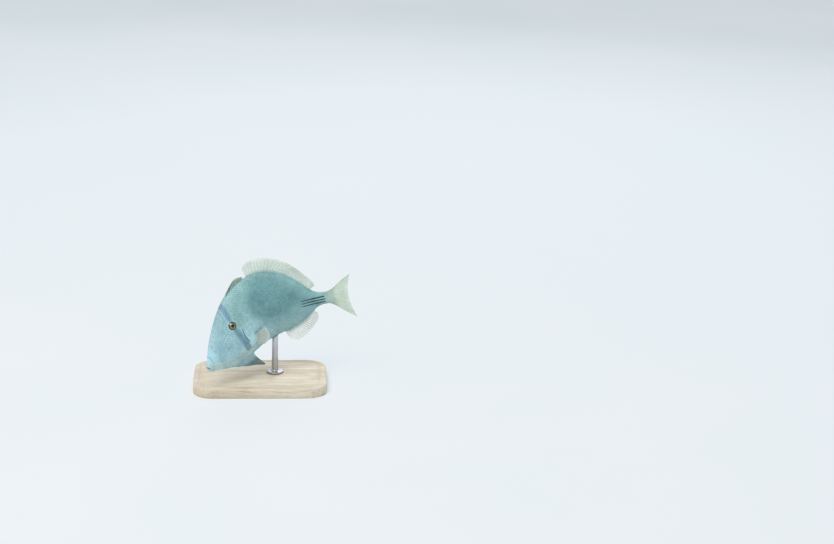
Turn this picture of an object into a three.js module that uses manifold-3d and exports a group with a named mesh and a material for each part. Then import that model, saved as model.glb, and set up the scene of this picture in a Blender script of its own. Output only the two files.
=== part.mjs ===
// A picasso triggerfish, life size, on a display stand: it swims head down, with its tail swung round.
// Millimetres, +Z up. The origin is the middle of the base's underside, and the fish heads for -X and -Y.
// The fish is first built straight: x runs from its snout to its tail, y to its right and z to its back.
// Then it is bent along its spine and set in its pose over the stand.
import * as THREE from "three";
import { mergeVertices } from "three/addons/utils/BufferGeometryUtils.js";
import Module from "manifold-3d";

const manifold = await Module();
manifold.setup();

// Driving sizes, in millimetres.
const BODY_LENGTH = 180; // snout to the root of the tail fin
const GAP = 0.3; // between pieces that touch
const BASE_LENGTH = 160;
const BASE_DEPTH = 104;
const BASE_HEIGHT = 12;
const BASE_CORNER = 24;
const BASE_BEVEL = 1.5;
const CLEARANCE = 14; // from the base up to the fish's lowest point
const ROD_RADIUS = 4;
const ROD_FOOT_RADIUS = 10;
const ROD_FOOT_HEIGHT = 2.5;

// The pose, in degrees.
const HEADING = 40; // the snout points this far towards -Y from -X
const PITCH = 29; // head down
const BANK = -11; // the back leans to the fish's right
const TAIL_SWING = 47; // the tail's bend to the fish's left
const TAIL_DROP = 15; // the tail's bend towards the belly

// A place is a distance from the snout in percent of BODY_LENGTH, and heights there are in the same percent.
const PERCENT = BODY_LENGTH / 100;
const BEND_START = 34;
const BEND_END = 91;
const HEAD_END = 33.5;
const TRUNK_END = 66;
const STEM_END = 99;
const SIDES = 36; // flats round a cross-section
const BALANCE_PLACE = 50; // over the middle of the base
const ROD_PLACE = 54;

// Eyes, mouth, gill slit and nostrils.
const EYE = { place: 28, height: 14.5, radius: 6.6, stand: 2, mound: 1.3, moundReach: 4.2 };
const MOUTH = { length: 7, halfWidth: 4.4, halfHeight: 1.9 };
const GILL_SLIT = { top: 8, bottom: -3, place: 31.6, bow: 0.9, depth: 2.2, halfWidth: 0.55 };
const NOSTRIL = { radius: 0.8, spots: [[25.6, 15.6], [24.7, 14.6]] };

const COLOURS = {
  flesh: "#6f7668",
  fin: "#c3c48f",
  eye: "#20201c",
  tooth: "#e6e0d0",
  base: "#d9cdb6",
  rod: "#b9bbbd",
};

const degrees = THREE.MathUtils.degToRad;
const { lerp, smoothstep } = THREE.MathUtils;

// A smooth curve through [position, value] points.
function profile(points) {
  const positions = points.map((point) => point[0]);
  const values = points.map((point) => point[1]);
  const curve = new THREE.CubicInterpolant(positions, values, 1);
  return (position) => curve.evaluate(position)[0];
}

// The body's outline: the heights of its back and belly, and half its width, at each place.
const back = profile([
  [0, 1.3], [1.2, 3.2], [2.4, 4.1], [3.4, 4.4], [5, 6.6], [10, 11.8], [16, 17], [22, 21.6], [28, 25.5],
  [34, 28.6], [40, 30.8], [47, 32.1], [54, 32.2], [60, 31.2], [66, 29.2], [72, 25.5], [78, 20.3],
  [84, 13.8], [88, 9], [91, 6.6], [94, 5.5], [98, 5.1], [102, 5.5],
]);
const belly = profile([
  [0, -1.5], [1.2, -3.3], [2.4, -4.2], [3.4, -4.2], [5, -5.3], [10, -8.6], [18, -12.8], [26, -14.9],
  [34, -14.6], [44, -14.8], [54, -15.7], [62, -16.4], [68, -16.3], [74, -15.2], [80, -12.8],
  [86, -9.1], [91, -5.6], [95, -4.4], [98, -4.3], [102, -4.7],
]);
const halfWidth = profile([
  [0, 1.7], [1.2, 2.9], [2.4, 3.3], [3.4, 3.1], [5, 3.7], [9, 5], [15, 6.5], [22, 7.9], [30, 8.9],
  [38, 9.3], [48, 9.1], [58, 8.2], [68, 6.7], [78, 4.7], [86, 3.2], [92, 2.3], [99, 1.5], [102, 1.2],
]);
const widestHeight = profile([[0, 0], [10, 1], [25, 3], [50, 4], [80, 1.5], [100, 0.2]]);
const pinch = profile([[0, 0.9], [12, 1], [40, 1.12], [70, 1.15], [100, 1]]);

// How far the rim of the eye socket lifts the skin at a place and height.
function eyeMound(place, height) {
  const away = Math.hypot(place - EYE.place, height - EYE.height) / EYE.moundReach;
  return EYE.mound * Math.exp(-away * away);
}

// A point of the body's surface, at an angle round the spine from the back. grow moves it outwards.
function bodyPoint(place, angle, grow = 0) {
  const up = Math.cos(angle);
  const side = Math.sin(angle);
  const middle = widestHeight(place);
  const reach = up > 0 ? back(place) - middle : middle - belly(place);
  const height = middle + reach * up;
  const bulge = Math.sign(side) * Math.abs(side) ** pinch(place);
  const width = halfWidth(place) * PERCENT + grow + eyeMound(place, height);
  return new THREE.Vector3(place * PERCENT, width * bulge, height * PERCENT + grow * up);
}

// The point of the flank at a place and height: side is 1 on the fish's right and -1 on its left.
function flankPoint(place, height, side) {
  const middle = widestHeight(place);
  const reach = height > middle ? back(place) - middle : middle - belly(place);
  const angle = Math.acos(THREE.MathUtils.clamp((height - middle) / reach, -1, 1));
  return bodyPoint(place, side * angle);
}

// The direction straight out of the flank.
function flankNormal(place, height, side) {
  const step = 0.5;
  const along = flankPoint(place + step, height, side).sub(flankPoint(place - step, height, side));
  const up = flankPoint(place, height + step, side).sub(flankPoint(place, height - step, side));
  return along.cross(up).multiplyScalar(-side).normalize();
}

function geometryOf(positions, index) {
  const geometry = new THREE.BufferGeometry();
  geometry.setAttribute("position", new THREE.Float32BufferAttribute(positions, 3));
  geometry.setIndex(index);
  return geometry;
}

// The body between two places, closed by a fan of triangles at each end.
function bodyGeometry(from, to, rings, sides, { grow = 0, crowd = 1 } = {}) {
  const positions = [];
  const index = [];
  for (let ring = 0; ring <= rings; ring += 1) {
    const place = lerp(from, to, (ring / rings) ** crowd);
    for (let side = 0; side < sides; side += 1)
      positions.push(...bodyPoint(place, (side / sides) * 2 * Math.PI, grow).toArray());
  }
  const corner = (ring, side) => ring * sides + (side % sides);
  for (let ring = 0; ring < rings; ring += 1)
    for (let side = 0; side < sides; side += 1) {
      const quad = [corner(ring, side), corner(ring, side + 1), corner(ring + 1, side + 1), corner(ring + 1, side)];
      index.push(quad[0], quad[2], quad[1], quad[0], quad[3], quad[2]);
    }
  const capMiddles = [[from, 0], [to, rings]];
  capMiddles.forEach(([place, ring], end) => {
    const middle = positions.length / 3;
    positions.push(place * PERCENT, 0, widestHeight(place) * PERCENT);
    for (let side = 0; side < sides; side += 1) {
      const edge = [corner(ring, side), corner(ring, side + 1)];
      index.push(middle, ...(end === 0 ? edge : edge.reverse()));
    }
  });
  return geometryOf(positions, index);
}

// A fin is a sheet from its root, v = 0, to its edge, v = 1. Every second column is a ray, which
// stands proud of the web on both faces, and both faces are split into triangles alike.
function finGeometry({ rays, rows, point, rayHalf, webHalf }) {
  const columns = 2 * rays - 1;
  const step = 1e-3;
  const positions = [];
  const index = [];
  const normalAt = (u, v) => {
    const along = point(u + step, v).sub(point(u - step, v));
    const out = point(u, v + step).sub(point(u, v - step));
    return along.cross(out).normalize();
  };
  for (const face of [1, -1])
    for (let row = 0; row <= rows; row += 1)
      for (let column = 0; column < columns; column += 1) {
        const u = column / (columns - 1);
        const v = row / rows;
        const half = column % 2 === 0 ? rayHalf(v, u) : webHalf(v, u);
        positions.push(...point(u, v).addScaledVector(normalAt(u, v), face * half).toArray());
      }
  const faceSize = (rows + 1) * columns;
  const corner = (face, row, column) => face * faceSize + row * columns + column;
  for (let row = 0; row < rows; row += 1)
    for (let column = 0; column < columns - 1; column += 1)
      for (const face of [0, 1]) {
        const quad = [
          corner(face, row, column),
          corner(face, row, column + 1),
          corner(face, row + 1, column + 1),
          corner(face, row + 1, column),
        ];
        const triangles = [quad[0], quad[1], quad[2], quad[0], quad[2], quad[3]];
        index.push(...(face === 0 ? triangles : triangles.reverse()));
      }
  const rim = [];
  for (let column = 0; column < columns - 1; column += 1) rim.push([0, column]);
  for (let row = 0; row < rows; row += 1) rim.push([row, columns - 1]);
  for (let column = columns - 1; column > 0; column -= 1) rim.push([rows, column]);
  for (let row = rows; row > 0; row -= 1) rim.push([row, 0]);
  rim.forEach(([row, column], spot) => {
    const [nextRow, nextColumn] = rim[(spot + 1) % rim.length];
    const near = [corner(0, row, column), corner(0, nextRow, nextColumn)];
    const far = [corner(1, row, column), corner(1, nextRow, nextColumn)];
    index.push(near[0], far[0], far[1], near[0], far[1], near[1]);
  });
  return geometryOf(positions, index);
}

// The solid inside a closed geometry. A sheet on the fish's other side comes out inside out, so its
// triangles are turned.
function solidOf(geometry) {
  const bare = geometry.clone();
  bare.deleteAttribute("normal");
  bare.deleteAttribute("uv");
  const merged = mergeVertices(bare, 1e-4);
  const vertProperties = new Float32Array(merged.attributes.position.array);
  const triVerts = new Uint32Array(merged.index.array);
  const solid = new manifold.Manifold(new manifold.Mesh({ numProp: 3, vertProperties, triVerts }));
  if (solid.volume() > 0) return solid;
  triVerts.reverse();
  return new manifold.Manifold(new manifold.Mesh({ numProp: 3, vertProperties, triVerts }));
}

function geometryFrom(solid) {
  const mesh = solid.getMesh();
  return geometryOf(Array.from(mesh.vertProperties), Array.from(mesh.triVerts));
}

function largest(solid) {
  return solid.decompose().reduce((best, piece) => (piece.volume() > best.volume() ? piece : best));
}

// A fin whose sunk root is cut back to just clear of the body.
function rootedFin(shape) {
  return geometryFrom(largest(solidOf(finGeometry(shape)).subtract(clearBody)));
}

// Bends a straight geometry along the spine: a cross-section keeps its shape, and only turns.
const SPINE_STEP = 0.25;
const spine = [new THREE.Vector3()];

function bendAt(place) {
  const share = smoothstep(place, BEND_START, BEND_END);
  const swing = degrees(TAIL_SWING) * share;
  const drop = degrees(TAIL_DROP) * share;
  const along = new THREE.Vector3(
    Math.cos(swing) * Math.cos(drop),
    -Math.sin(swing) * Math.cos(drop),
    -Math.sin(drop),
  );
  const right = new THREE.Vector3(Math.sin(swing), Math.cos(swing), 0);
  return { along, right, up: along.clone().cross(right) };
}

for (let place = 0; place < 125; place += SPINE_STEP) {
  const { along } = bendAt(place + SPINE_STEP / 2);
  spine.push(spine.at(-1).clone().addScaledVector(along, SPINE_STEP * PERCENT));
}

function bentPoint(straight) {
  const place = straight.x / PERCENT;
  const step = THREE.MathUtils.clamp(Math.floor(place / SPINE_STEP), 0, spine.length - 2);
  const { along, right, up } = bendAt(place);
  return spine[step]
    .clone()
    .addScaledVector(along, straight.x - step * SPINE_STEP * PERCENT)
    .addScaledVector(right, straight.y)
    .addScaledVector(up, straight.z);
}

function bent(geometry) {
  const bending = geometry.clone();
  const { position } = bending.attributes;
  const vertex = new THREE.Vector3();
  for (let i = 0; i < position.count; i += 1) {
    const moved = bentPoint(vertex.fromBufferAttribute(position, i));
    position.setXYZ(i, moved.x, moved.y, moved.z);
  }
  return bending;
}

// The whole body, larger by the gap: what fins and rod are cut clear of.
const clearBody = solidOf(bodyGeometry(0, STEM_END + 1, 44, SIDES, { grow: GAP }));

// Mouth and eyes.
function mouthSpace(shrink = 0) {
  const space = new THREE.SphereGeometry(1, 16, 10);
  space.scale(MOUTH.length - shrink, MOUTH.halfWidth - shrink, MOUTH.halfHeight - shrink);
  return solidOf(space);
}

function eyeBall(side, radius) {
  const middle = flankPoint(EYE.place, EYE.height, side);
  middle.addScaledVector(flankNormal(EYE.place, EYE.height, side), EYE.stand - EYE.radius);
  const ball = new THREE.SphereGeometry(radius, 18, 12);
  return ball.translate(middle.x, middle.y, middle.z);
}

function gillSlit(side) {
  const point = (u, v) => {
    const height = lerp(GILL_SLIT.top, GILL_SLIT.bottom, u);
    const place = GILL_SLIT.place + GILL_SLIT.bow * (2 * u - 1) ** 2;
    const skin = flankPoint(place, height, side);
    const out = lerp(1, -GILL_SLIT.depth, v);
    return skin.addScaledVector(flankNormal(place, height, side), out);
  };
  const half = () => GILL_SLIT.halfWidth;
  return solidOf(finGeometry({ rays: 4, rows: 1, point, rayHalf: half, webHalf: half }));
}

function headGeometry() {
  let head = solidOf(bodyGeometry(0, HEAD_END, 24, SIDES, { crowd: 1.35 }));
  head = head.subtract(mouthSpace());
  for (const side of [1, -1]) {
    head = head.subtract(solidOf(eyeBall(side, EYE.radius + GAP)));
    head = head.subtract(gillSlit(side));
    for (const [place, height] of NOSTRIL.spots) {
      const middle = flankPoint(place, height, side);
      const pit = new THREE.SphereGeometry(NOSTRIL.radius, 8, 6);
      head = head.subtract(solidOf(pit.translate(middle.x, middle.y, middle.z)));
    }
  }
  return geometryFrom(largest(head));
}

const TEETH = 6;

// A row of chisel teeth along the jaw: jaw is 1 for the upper and -1 for the lower.
function teethGeometry(jaw) {
  const point = (u, v) => {
    const turn = degrees(lerp(-58, 58, u));
    const tip = Math.abs(Math.sin(u * TEETH * Math.PI)) ** 0.5;
    const height = jaw * lerp(MOUTH.halfHeight, lerp(1.2, 0.35, tip), v);
    return new THREE.Vector3(4.6 - 2.9 * Math.cos(turn), 3.7 * Math.sin(turn), height);
  };
  const half = (v) => lerp(0.42, 0.25, v);
  const row = solidOf(finGeometry({ rays: 2 * TEETH + 1, rows: 1, point, rayHalf: half, webHalf: half }));
  return geometryFrom(largest(row.intersect(mouthSpace(GAP))));
}

function trunkGeometry() {
  return bodyGeometry(HEAD_END + GAP / PERCENT, TRUNK_END, 11, SIDES);
}

// The tail stem carries three rows of small spines on each side, which point forwards.
const STEM_SPINES = { first: 84, last: 96.5, perRow: 7, heights: [2.6, 0.6, -1.4], radius: 0.6, length: 2.1 };

function stemGeometry() {
  let stem = solidOf(bodyGeometry(TRUNK_END + GAP / PERCENT, STEM_END, 13, SIDES));
  const forwards = new THREE.Vector3(-0.8, 0, 0);
  for (const side of [1, -1])
    for (const height of STEM_SPINES.heights)
      for (let i = 0; i < STEM_SPINES.perRow; i += 1) {
        const place = lerp(STEM_SPINES.first, STEM_SPINES.last, i / (STEM_SPINES.perRow - 1));
        const root = flankPoint(place, height, side);
        const out = flankNormal(place, height, side);
        const aim = out.clone().add(forwards).normalize();
        const spine = new THREE.ConeGeometry(STEM_SPINES.radius, STEM_SPINES.length, 5);
        spine.applyQuaternion(new THREE.Quaternion().setFromUnitVectors(new THREE.Vector3(0, 1, 0), aim));
        root.addScaledVector(aim, STEM_SPINES.length * 0.18);
        stem = stem.add(solidOf(spine.translate(root.x, root.y, root.z)));
      }
  return geometryFrom(largest(stem));
}

// A fin along the back or belly: each ray stands on the outline and leans towards the tail.
function edgeFin({ outline, out, from, to, rays, lengths, leans, sway, swayTurns }) {
  const sunk = 2;
  const point = (u, v) => {
    const place = lerp(from, to, u);
    const slope = (outline(place + 0.5) - outline(place - 0.5)) * out;
    const turn = Math.atan(-slope) + degrees(lerp(...leans, u));
    const length = v * (lengths(u) * PERCENT + sunk) - sunk;
    const wave = sway * v * v * Math.sin(2 * Math.PI * swayTurns * u + 0.6);
    return new THREE.Vector3(
      place * PERCENT + length * Math.sin(turn),
      wave,
      outline(place) * PERCENT + out * length * Math.cos(turn),
    );
  };
  const rayHalf = (v) => lerp(0.85, 0.45, v);
  const webHalf = (v) => lerp(0.45, 0.3, v);
  return rootedFin({ rays, rows: 3, point, rayHalf, webHalf });
}

function softDorsalGeometry() {
  const lengths = profile([
    [0, 6.6], [0.05, 8.6], [0.12, 9.6], [0.3, 9.8], [0.55, 9.8], [0.75, 8], [0.9, 6.4], [1, 4.4],
  ]);
  return edgeFin({
    outline: back, out: 1, from: 55, to: 88.5, rays: 25, lengths, leans: [-6, 24], sway: 2.4, swayTurns: 1.1,
  });
}

function analGeometry() {
  const lengths = profile([
    [0, 3.6], [0.06, 7], [0.15, 9.4], [0.35, 10.6], [0.6, 9.6], [0.8, 7.4], [0.93, 4.8], [1, 2.4],
  ]);
  return edgeFin({
    outline: belly, out: -1, from: 62.5, to: 87.5, rays: 22, lengths, leans: [8, 20], sway: -2.4, swayTurns: 1,
  });
}

// The first back fin, half folded: a stout locking spine, smaller ones behind it, and a web that
// dips between their tips. SPINES gives each one's length in percent of the body and half its thickness.
const SPINES = [[12.5, 1.7], [9.8, 1.1], [7.2, 0.9], [4.6, 0.6], [1.8, 0.5]];

function spinyDorsalGeometry() {
  const from = 38;
  const to = 52.5;
  const last = SPINES.length - 1;
  const lengths = profile(SPINES.map(([length], i) => [i / last, length]));
  const fold = degrees(62);
  const dip = 0.2;
  const sunk = 2.5;
  const point = (u, v) => {
    const place = lerp(from, to, u);
    const between = Math.sin(Math.PI * u * last) ** 2;
    const length = v * (lengths(u) * (1 - dip * between) * PERCENT + sunk) - sunk;
    return new THREE.Vector3(
      place * PERCENT + length * Math.sin(fold),
      0,
      back(place) * PERCENT + length * Math.cos(fold),
    );
  };
  const rayHalf = (v, u) => SPINES[Math.round(u * last)][1] * lerp(1, 0.5, v);
  const webHalf = () => 0.35;
  return rootedFin({ rays: SPINES.length, rows: 6, point, rayHalf, webHalf });
}

function caudalGeometry() {
  const rootPlace = STEM_END + GAP / PERCENT;
  const rootHalf = 4.3;
  const upperSpan = 16.6;
  const lowerSpan = 19;
  const tipPlace = 117;
  const hollow = 3.6; // how far the middle of the edge lies ahead of the corners
  const flare = profile([[0, 0], [0.2, 0.16], [0.6, 0.62], [1, 1]]);
  const point = (u, v) => {
    const spread = 2 * u - 1;
    const end = tipPlace + 1.2 * spread - hollow * (1 - spread * spread);
    const place = lerp(rootPlace, end, v);
    const span = spread > 0 ? upperSpan : lowerSpan;
    const height = spread * lerp(rootHalf, span, flare(v)) + 0.3;
    const curl = 2.5 * v * v * Math.sin(2.2 * u + 0.4);
    return new THREE.Vector3(place * PERCENT, -curl, height * PERCENT);
  };
  const thinning = (v) => Math.max(0, 1 - v / 0.2);
  const rayHalf = (v) => 1.1 * thinning(v) + lerp(0.85, 0.42, v);
  const webHalf = (v) => 1.3 * thinning(v) + lerp(0.45, 0.3, v);
  return finGeometry({ rays: 12, rows: 8, point, rayHalf, webHalf });
}

// A side fin: a rounded fan that stands off the flank.
function pectoralGeometry(side) {
  const lengths = profile([[0, 10.5], [0.25, 12], [0.55, 11], [0.8, 8.6], [1, 6]]);
  const sunk = 2;
  const point = (u, v) => {
    const root = flankPoint(36.4 - 0.8 * u, lerp(-1, -6, u), side);
    const fall = degrees(lerp(-14, 52, u));
    const length = v * (lengths(u) * PERCENT + sunk) - sunk;
    const off = degrees(lerp(38, 30, v));
    root.x += length * Math.cos(fall) * Math.cos(off);
    root.z -= length * Math.sin(fall) * Math.cos(off);
    root.y += side * length * Math.sin(off);
    return root;
  };
  const rayHalf = (v) => lerp(0.75, 0.4, v);
  const webHalf = (v) => lerp(0.42, 0.3, v);
  return rootedFin({ rays: 13, rows: 4, point, rayHalf, webHalf });
}

// The fold of the belly that the pelvic bone holds out, with the pelvic spine at its tip.
function pelvicFlapGeometry() {
  const chin = new THREE.Vector2(14, belly(14));
  const tip = new THREE.Vector2(37, -27.8);
  const notch = new THREE.Vector2(34.1, belly(34.1) + 0.6);
  const rootEnd = 32;
  const corner = 0.76;
  const sunk = 2.6;
  const point = (u, v) => {
    const rootPlace = lerp(chin.x, rootEnd, u);
    const root = new THREE.Vector2(rootPlace, belly(rootPlace) + sunk);
    const edge = u < corner
      ? chin.clone().lerp(tip, u / corner)
      : tip.clone().lerp(notch, (u - corner) / (1 - corner));
    const spot = root.lerp(edge, v);
    return new THREE.Vector3(spot.x * PERCENT, 0, spot.y * PERCENT);
  };
  const rayHalf = (v, u) => lerp(2.8, 0.8, v) * lerp(1, 0.75, u);
  const webHalf = (v, u) => lerp(2.6, 0.5, v) * lerp(1, 0.75, u);
  return rootedFin({ rays: 13, rows: 4, point, rayHalf, webHalf });
}

function meshOf(name, geometry, colour, roughness = 0.5, metalness = 0) {
  const flat = geometry.index ? geometry.toNonIndexed() : geometry;
  flat.computeVertexNormals();
  const material = new THREE.MeshStandardMaterial({ color: colour, roughness, metalness });
  const mesh = new THREE.Mesh(flat, material);
  mesh.name = name;
  return mesh;
}

function fishGroup() {
  const fish = new THREE.Group();
  const add = (name, geometry, colour) => fish.add(meshOf(name, bent(geometry), colour));
  add("head", headGeometry(), COLOURS.flesh);
  add("trunk", trunkGeometry(), COLOURS.flesh);
  add("tail_stem", stemGeometry(), COLOURS.flesh);
  add("pelvic_flap", pelvicFlapGeometry(), COLOURS.flesh);
  add("spiny_dorsal_fin", spinyDorsalGeometry(), COLOURS.flesh);
  add("soft_dorsal_fin", softDorsalGeometry(), COLOURS.fin);
  add("anal_fin", analGeometry(), COLOURS.fin);
  add("caudal_fin", caudalGeometry(), COLOURS.fin);
  add("pectoral_fin_right", pectoralGeometry(1), COLOURS.fin);
  add("pectoral_fin_left", pectoralGeometry(-1), COLOURS.fin);
  add("eye_right", eyeBall(1, EYE.radius), COLOURS.eye);
  add("eye_left", eyeBall(-1, EYE.radius), COLOURS.eye);
  add("teeth_upper", teethGeometry(1), COLOURS.tooth);
  add("teeth_lower", teethGeometry(-1), COLOURS.tooth);
  fish.rotation.set(degrees(BANK), degrees(-PITCH), degrees(HEADING), "ZYX");
  return fish;
}

// Sets the fish's balance over the middle of the base, and its lowest point clear of it.
function placeFish(fish) {
  fish.updateMatrixWorld(true);
  const balance = bentPoint(new THREE.Vector3(BALANCE_PLACE * PERCENT, 0, 0)).applyMatrix4(fish.matrixWorld);
  const lowest = new THREE.Box3().setFromObject(fish, true).min.z;
  fish.position.set(-balance.x, -balance.y, BASE_HEIGHT + CLEARANCE - lowest);
  fish.updateMatrixWorld(true);
}

function baseMesh() {
  const x = BASE_LENGTH / 2 - BASE_BEVEL;
  const y = BASE_DEPTH / 2 - BASE_BEVEL;
  const outline = new THREE.Shape();
  outline.moveTo(-x + BASE_CORNER, -y);
  outline.lineTo(x - BASE_CORNER, -y);
  outline.absarc(x - BASE_CORNER, -y + BASE_CORNER, BASE_CORNER, -Math.PI / 2, 0);
  outline.absarc(x - BASE_CORNER, y - BASE_CORNER, BASE_CORNER, 0, Math.PI / 2);
  outline.absarc(-x + BASE_CORNER, y - BASE_CORNER, BASE_CORNER, Math.PI / 2, Math.PI);
  outline.absarc(-x + BASE_CORNER, -y + BASE_CORNER, BASE_CORNER, Math.PI, 1.5 * Math.PI);
  const plate = new THREE.ExtrudeGeometry(outline, {
    depth: BASE_HEIGHT - 2 * BASE_BEVEL,
    bevelThickness: BASE_BEVEL,
    bevelSize: BASE_BEVEL,
    bevelSegments: 1,
    curveSegments: 6,
  });
  plate.translate(0, 0, BASE_BEVEL);
  return meshOf("stand_base", plate, COLOURS.base, 0.7);
}

// The rod stands on the base and ends just under the belly, which its top face follows.
function rodMesh(fish) {
  const hold = new THREE.Vector3(ROD_PLACE * PERCENT, 0, belly(ROD_PLACE) * PERCENT);
  const top = bentPoint(hold).applyMatrix4(fish.matrixWorld);
  const start = BASE_HEIGHT + GAP;
  const outline = [
    [0, start],
    [ROD_FOOT_RADIUS, start],
    [ROD_FOOT_RADIUS, start + ROD_FOOT_HEIGHT - 0.8],
    [ROD_FOOT_RADIUS - 0.8, start + ROD_FOOT_HEIGHT],
    [ROD_RADIUS, start + ROD_FOOT_HEIGHT],
    [ROD_RADIUS, top.z + 4],
    [0, top.z + 4],
  ];
  const lathe = new THREE.LatheGeometry(outline.map(([r, z]) => new THREE.Vector2(r, z)), 28);
  lathe.rotateX(Math.PI / 2).translate(top.x, top.y, 0);
  const flesh = solidOf(bent(geometryFrom(clearBody)).applyMatrix4(fish.matrixWorld));
  const rod = solidOf(lathe).subtract(flesh);
  return meshOf("stand_rod", geometryFrom(largest(rod)), COLOURS.rod, 0.35, 1);
}

const model = new THREE.Group();
const fish = fishGroup();
placeFish(fish);
model.add(fish, baseMesh(), rodMesh(fish));

export default model;
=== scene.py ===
"""A life-size picasso triggerfish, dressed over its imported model: skin, scales, fins, eyes, teeth, stand.

The fish is worked out straight and in millimetres, with x from snout to tail, y to its right and z to its
back. It is then bent along its spine, posed over the stand and put in metres, as its solids are.
A place is a distance from the snout in percent of the body's length, and heights are in the same percent.
"""
import math

import bpy
import numpy as np
from mathutils import Matrix, Vector


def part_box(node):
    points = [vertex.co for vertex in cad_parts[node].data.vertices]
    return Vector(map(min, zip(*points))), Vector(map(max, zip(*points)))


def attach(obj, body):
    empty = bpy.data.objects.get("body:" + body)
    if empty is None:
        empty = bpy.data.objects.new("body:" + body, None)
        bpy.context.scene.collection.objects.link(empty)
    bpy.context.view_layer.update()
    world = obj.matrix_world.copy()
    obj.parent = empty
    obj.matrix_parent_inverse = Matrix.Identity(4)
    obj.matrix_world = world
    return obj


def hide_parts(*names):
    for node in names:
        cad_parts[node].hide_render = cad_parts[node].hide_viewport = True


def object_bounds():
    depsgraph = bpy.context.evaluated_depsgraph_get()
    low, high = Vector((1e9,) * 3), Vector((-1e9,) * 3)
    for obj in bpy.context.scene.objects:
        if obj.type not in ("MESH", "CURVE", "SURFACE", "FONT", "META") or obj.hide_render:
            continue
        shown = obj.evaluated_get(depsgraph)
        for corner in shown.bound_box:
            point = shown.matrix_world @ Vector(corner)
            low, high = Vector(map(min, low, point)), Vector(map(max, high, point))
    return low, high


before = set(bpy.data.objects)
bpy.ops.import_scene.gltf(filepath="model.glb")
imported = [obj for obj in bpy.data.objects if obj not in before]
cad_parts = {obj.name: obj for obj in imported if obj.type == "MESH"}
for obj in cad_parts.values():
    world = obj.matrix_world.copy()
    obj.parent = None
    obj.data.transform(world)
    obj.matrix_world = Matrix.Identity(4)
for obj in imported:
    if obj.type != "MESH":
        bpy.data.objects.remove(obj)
solid_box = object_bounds()

# Driving sizes, in millimetres and degrees.
MM = 0.001
BODY_LENGTH = 180.0
PERCENT = BODY_LENGTH / 100
HEADING, PITCH, BANK = 40, 29, -11
TAIL_SWING, TAIL_DROP = 47, 15
BEND_START, BEND_END = 34, 91
SPINE_STEP = 0.25
STEM_END = 99
EYE_PLACE, EYE_HEIGHT, EYE_RADIUS, EYE_STAND = 28, 14.5, 6.6, 2.0
SOCKET_SWELL, SOCKET_REACH = 1.3, 4.2
RIGHT, LEFT = 1, -1
SIDE_WORDS = {RIGHT: "right", LEFT: "left"}


# Curves and distances.
def profile(points):
    """A smooth curve through [position, value] points: a cubic between each two, whose slope at a point is
    the mean of the straight slopes before and after it."""
    at, value = np.array(points, float).T
    straight = np.diff(value) / np.diff(at)
    slope = np.concatenate([straight[:1], (straight[1:] + straight[:-1]) / 2, straight[-1:]])

    def curve(position):
        position = np.clip(position, at[0], at[-1])
        i = np.clip(np.searchsorted(at, position, side="right") - 1, 0, len(at) - 2)
        span = at[i + 1] - at[i]
        t = (position - at[i]) / span
        start = value[i] * (1 + 2 * t) + slope[i] * span * t
        end = value[i + 1] * (3 - 2 * t) - slope[i + 1] * span * (1 - t)
        return start * (1 - t) ** 2 + end * t ** 2

    return curve


def smooth(low, high, value):
    """0 below low, 1 above high and an S-curve between them."""
    t = np.clip((value - low) / (high - low), 0, 1)
    return t * t * (3 - 2 * t)


def mix(a, b, share):
    return a + (b - a) * share


def hump(away, width):
    """A round bump: 1 at its middle and about a third at its width."""
    return np.exp(-(away / width) ** 2)


def crowded(count, density):
    """count positions from the first to the last [position, density] point, closer where density is high."""
    at, dense = np.array(density, float).T
    fine = np.linspace(at[0], at[-1], 4000)
    weight = np.interp(fine, at, dense)
    total = np.concatenate([[0], np.cumsum((weight[1:] + weight[:-1]) / 2)])
    return np.interp(np.linspace(0, total[-1], count), total, fine)


def away_from(place, height, *lines):
    """Millimetres, seen from the side, from the nearest of some broken lines of [place, height] points."""
    nearest = np.inf
    for line in lines:
        for (place0, height0), (place1, height1) in zip(line[:-1], line[1:]):
            run, rise = place1 - place0, height1 - height0
            share = ((place - place0) * run + (height - height0) * rise) / (run * run + rise * rise)
            share = np.clip(share, 0, 1)
            away = np.hypot(place - place0 - share * run, height - height0 - share * rise)
            nearest = np.minimum(nearest, away * PERCENT)
    return nearest


def unit(vectors):
    return vectors / np.maximum(np.linalg.norm(vectors, axis=-1, keepdims=True), 1e-9)


# The body's outline, as in its solids.
BACK = profile([
    [0, 1.3], [1.2, 3.2], [2.4, 4.1], [3.4, 4.4], [5, 6.6], [10, 11.8], [16, 17], [22, 21.6], [28, 25.5],
    [34, 28.6], [40, 30.8], [47, 32.1], [54, 32.2], [60, 31.2], [66, 29.2], [72, 25.5], [78, 20.3],
    [84, 13.8], [88, 9], [91, 6.6], [94, 5.5], [98, 5.1], [102, 5.5],
])
BELLY = profile([
    [0, -1.5], [1.2, -3.3], [2.4, -4.2], [3.4, -4.2], [5, -5.3], [10, -8.6], [18, -12.8], [26, -14.9],
    [34, -14.6], [44, -14.8], [54, -15.7], [62, -16.4], [68, -16.3], [74, -15.2], [80, -12.8],
    [86, -9.1], [91, -5.6], [95, -4.4], [98, -4.3], [102, -4.7],
])
HALF_WIDTH = profile([
    [0, 1.7], [1.2, 2.9], [2.4, 3.3], [3.4, 3.1], [5, 3.7], [9, 5], [15, 6.5], [22, 7.9], [30, 8.9],
    [38, 9.3], [48, 9.1], [58, 8.2], [68, 6.7], [78, 4.7], [86, 3.2], [92, 2.3], [99, 1.5], [102.6, 0.45],
])
WIDEST_HEIGHT = profile([[0, 0], [10, 1], [25, 3], [50, 4], [80, 1.5], [100, 0.2]])
PINCH = profile([[0, 0.9], [12, 1], [40, 1.12], [70, 1.15], [100, 1]])

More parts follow.
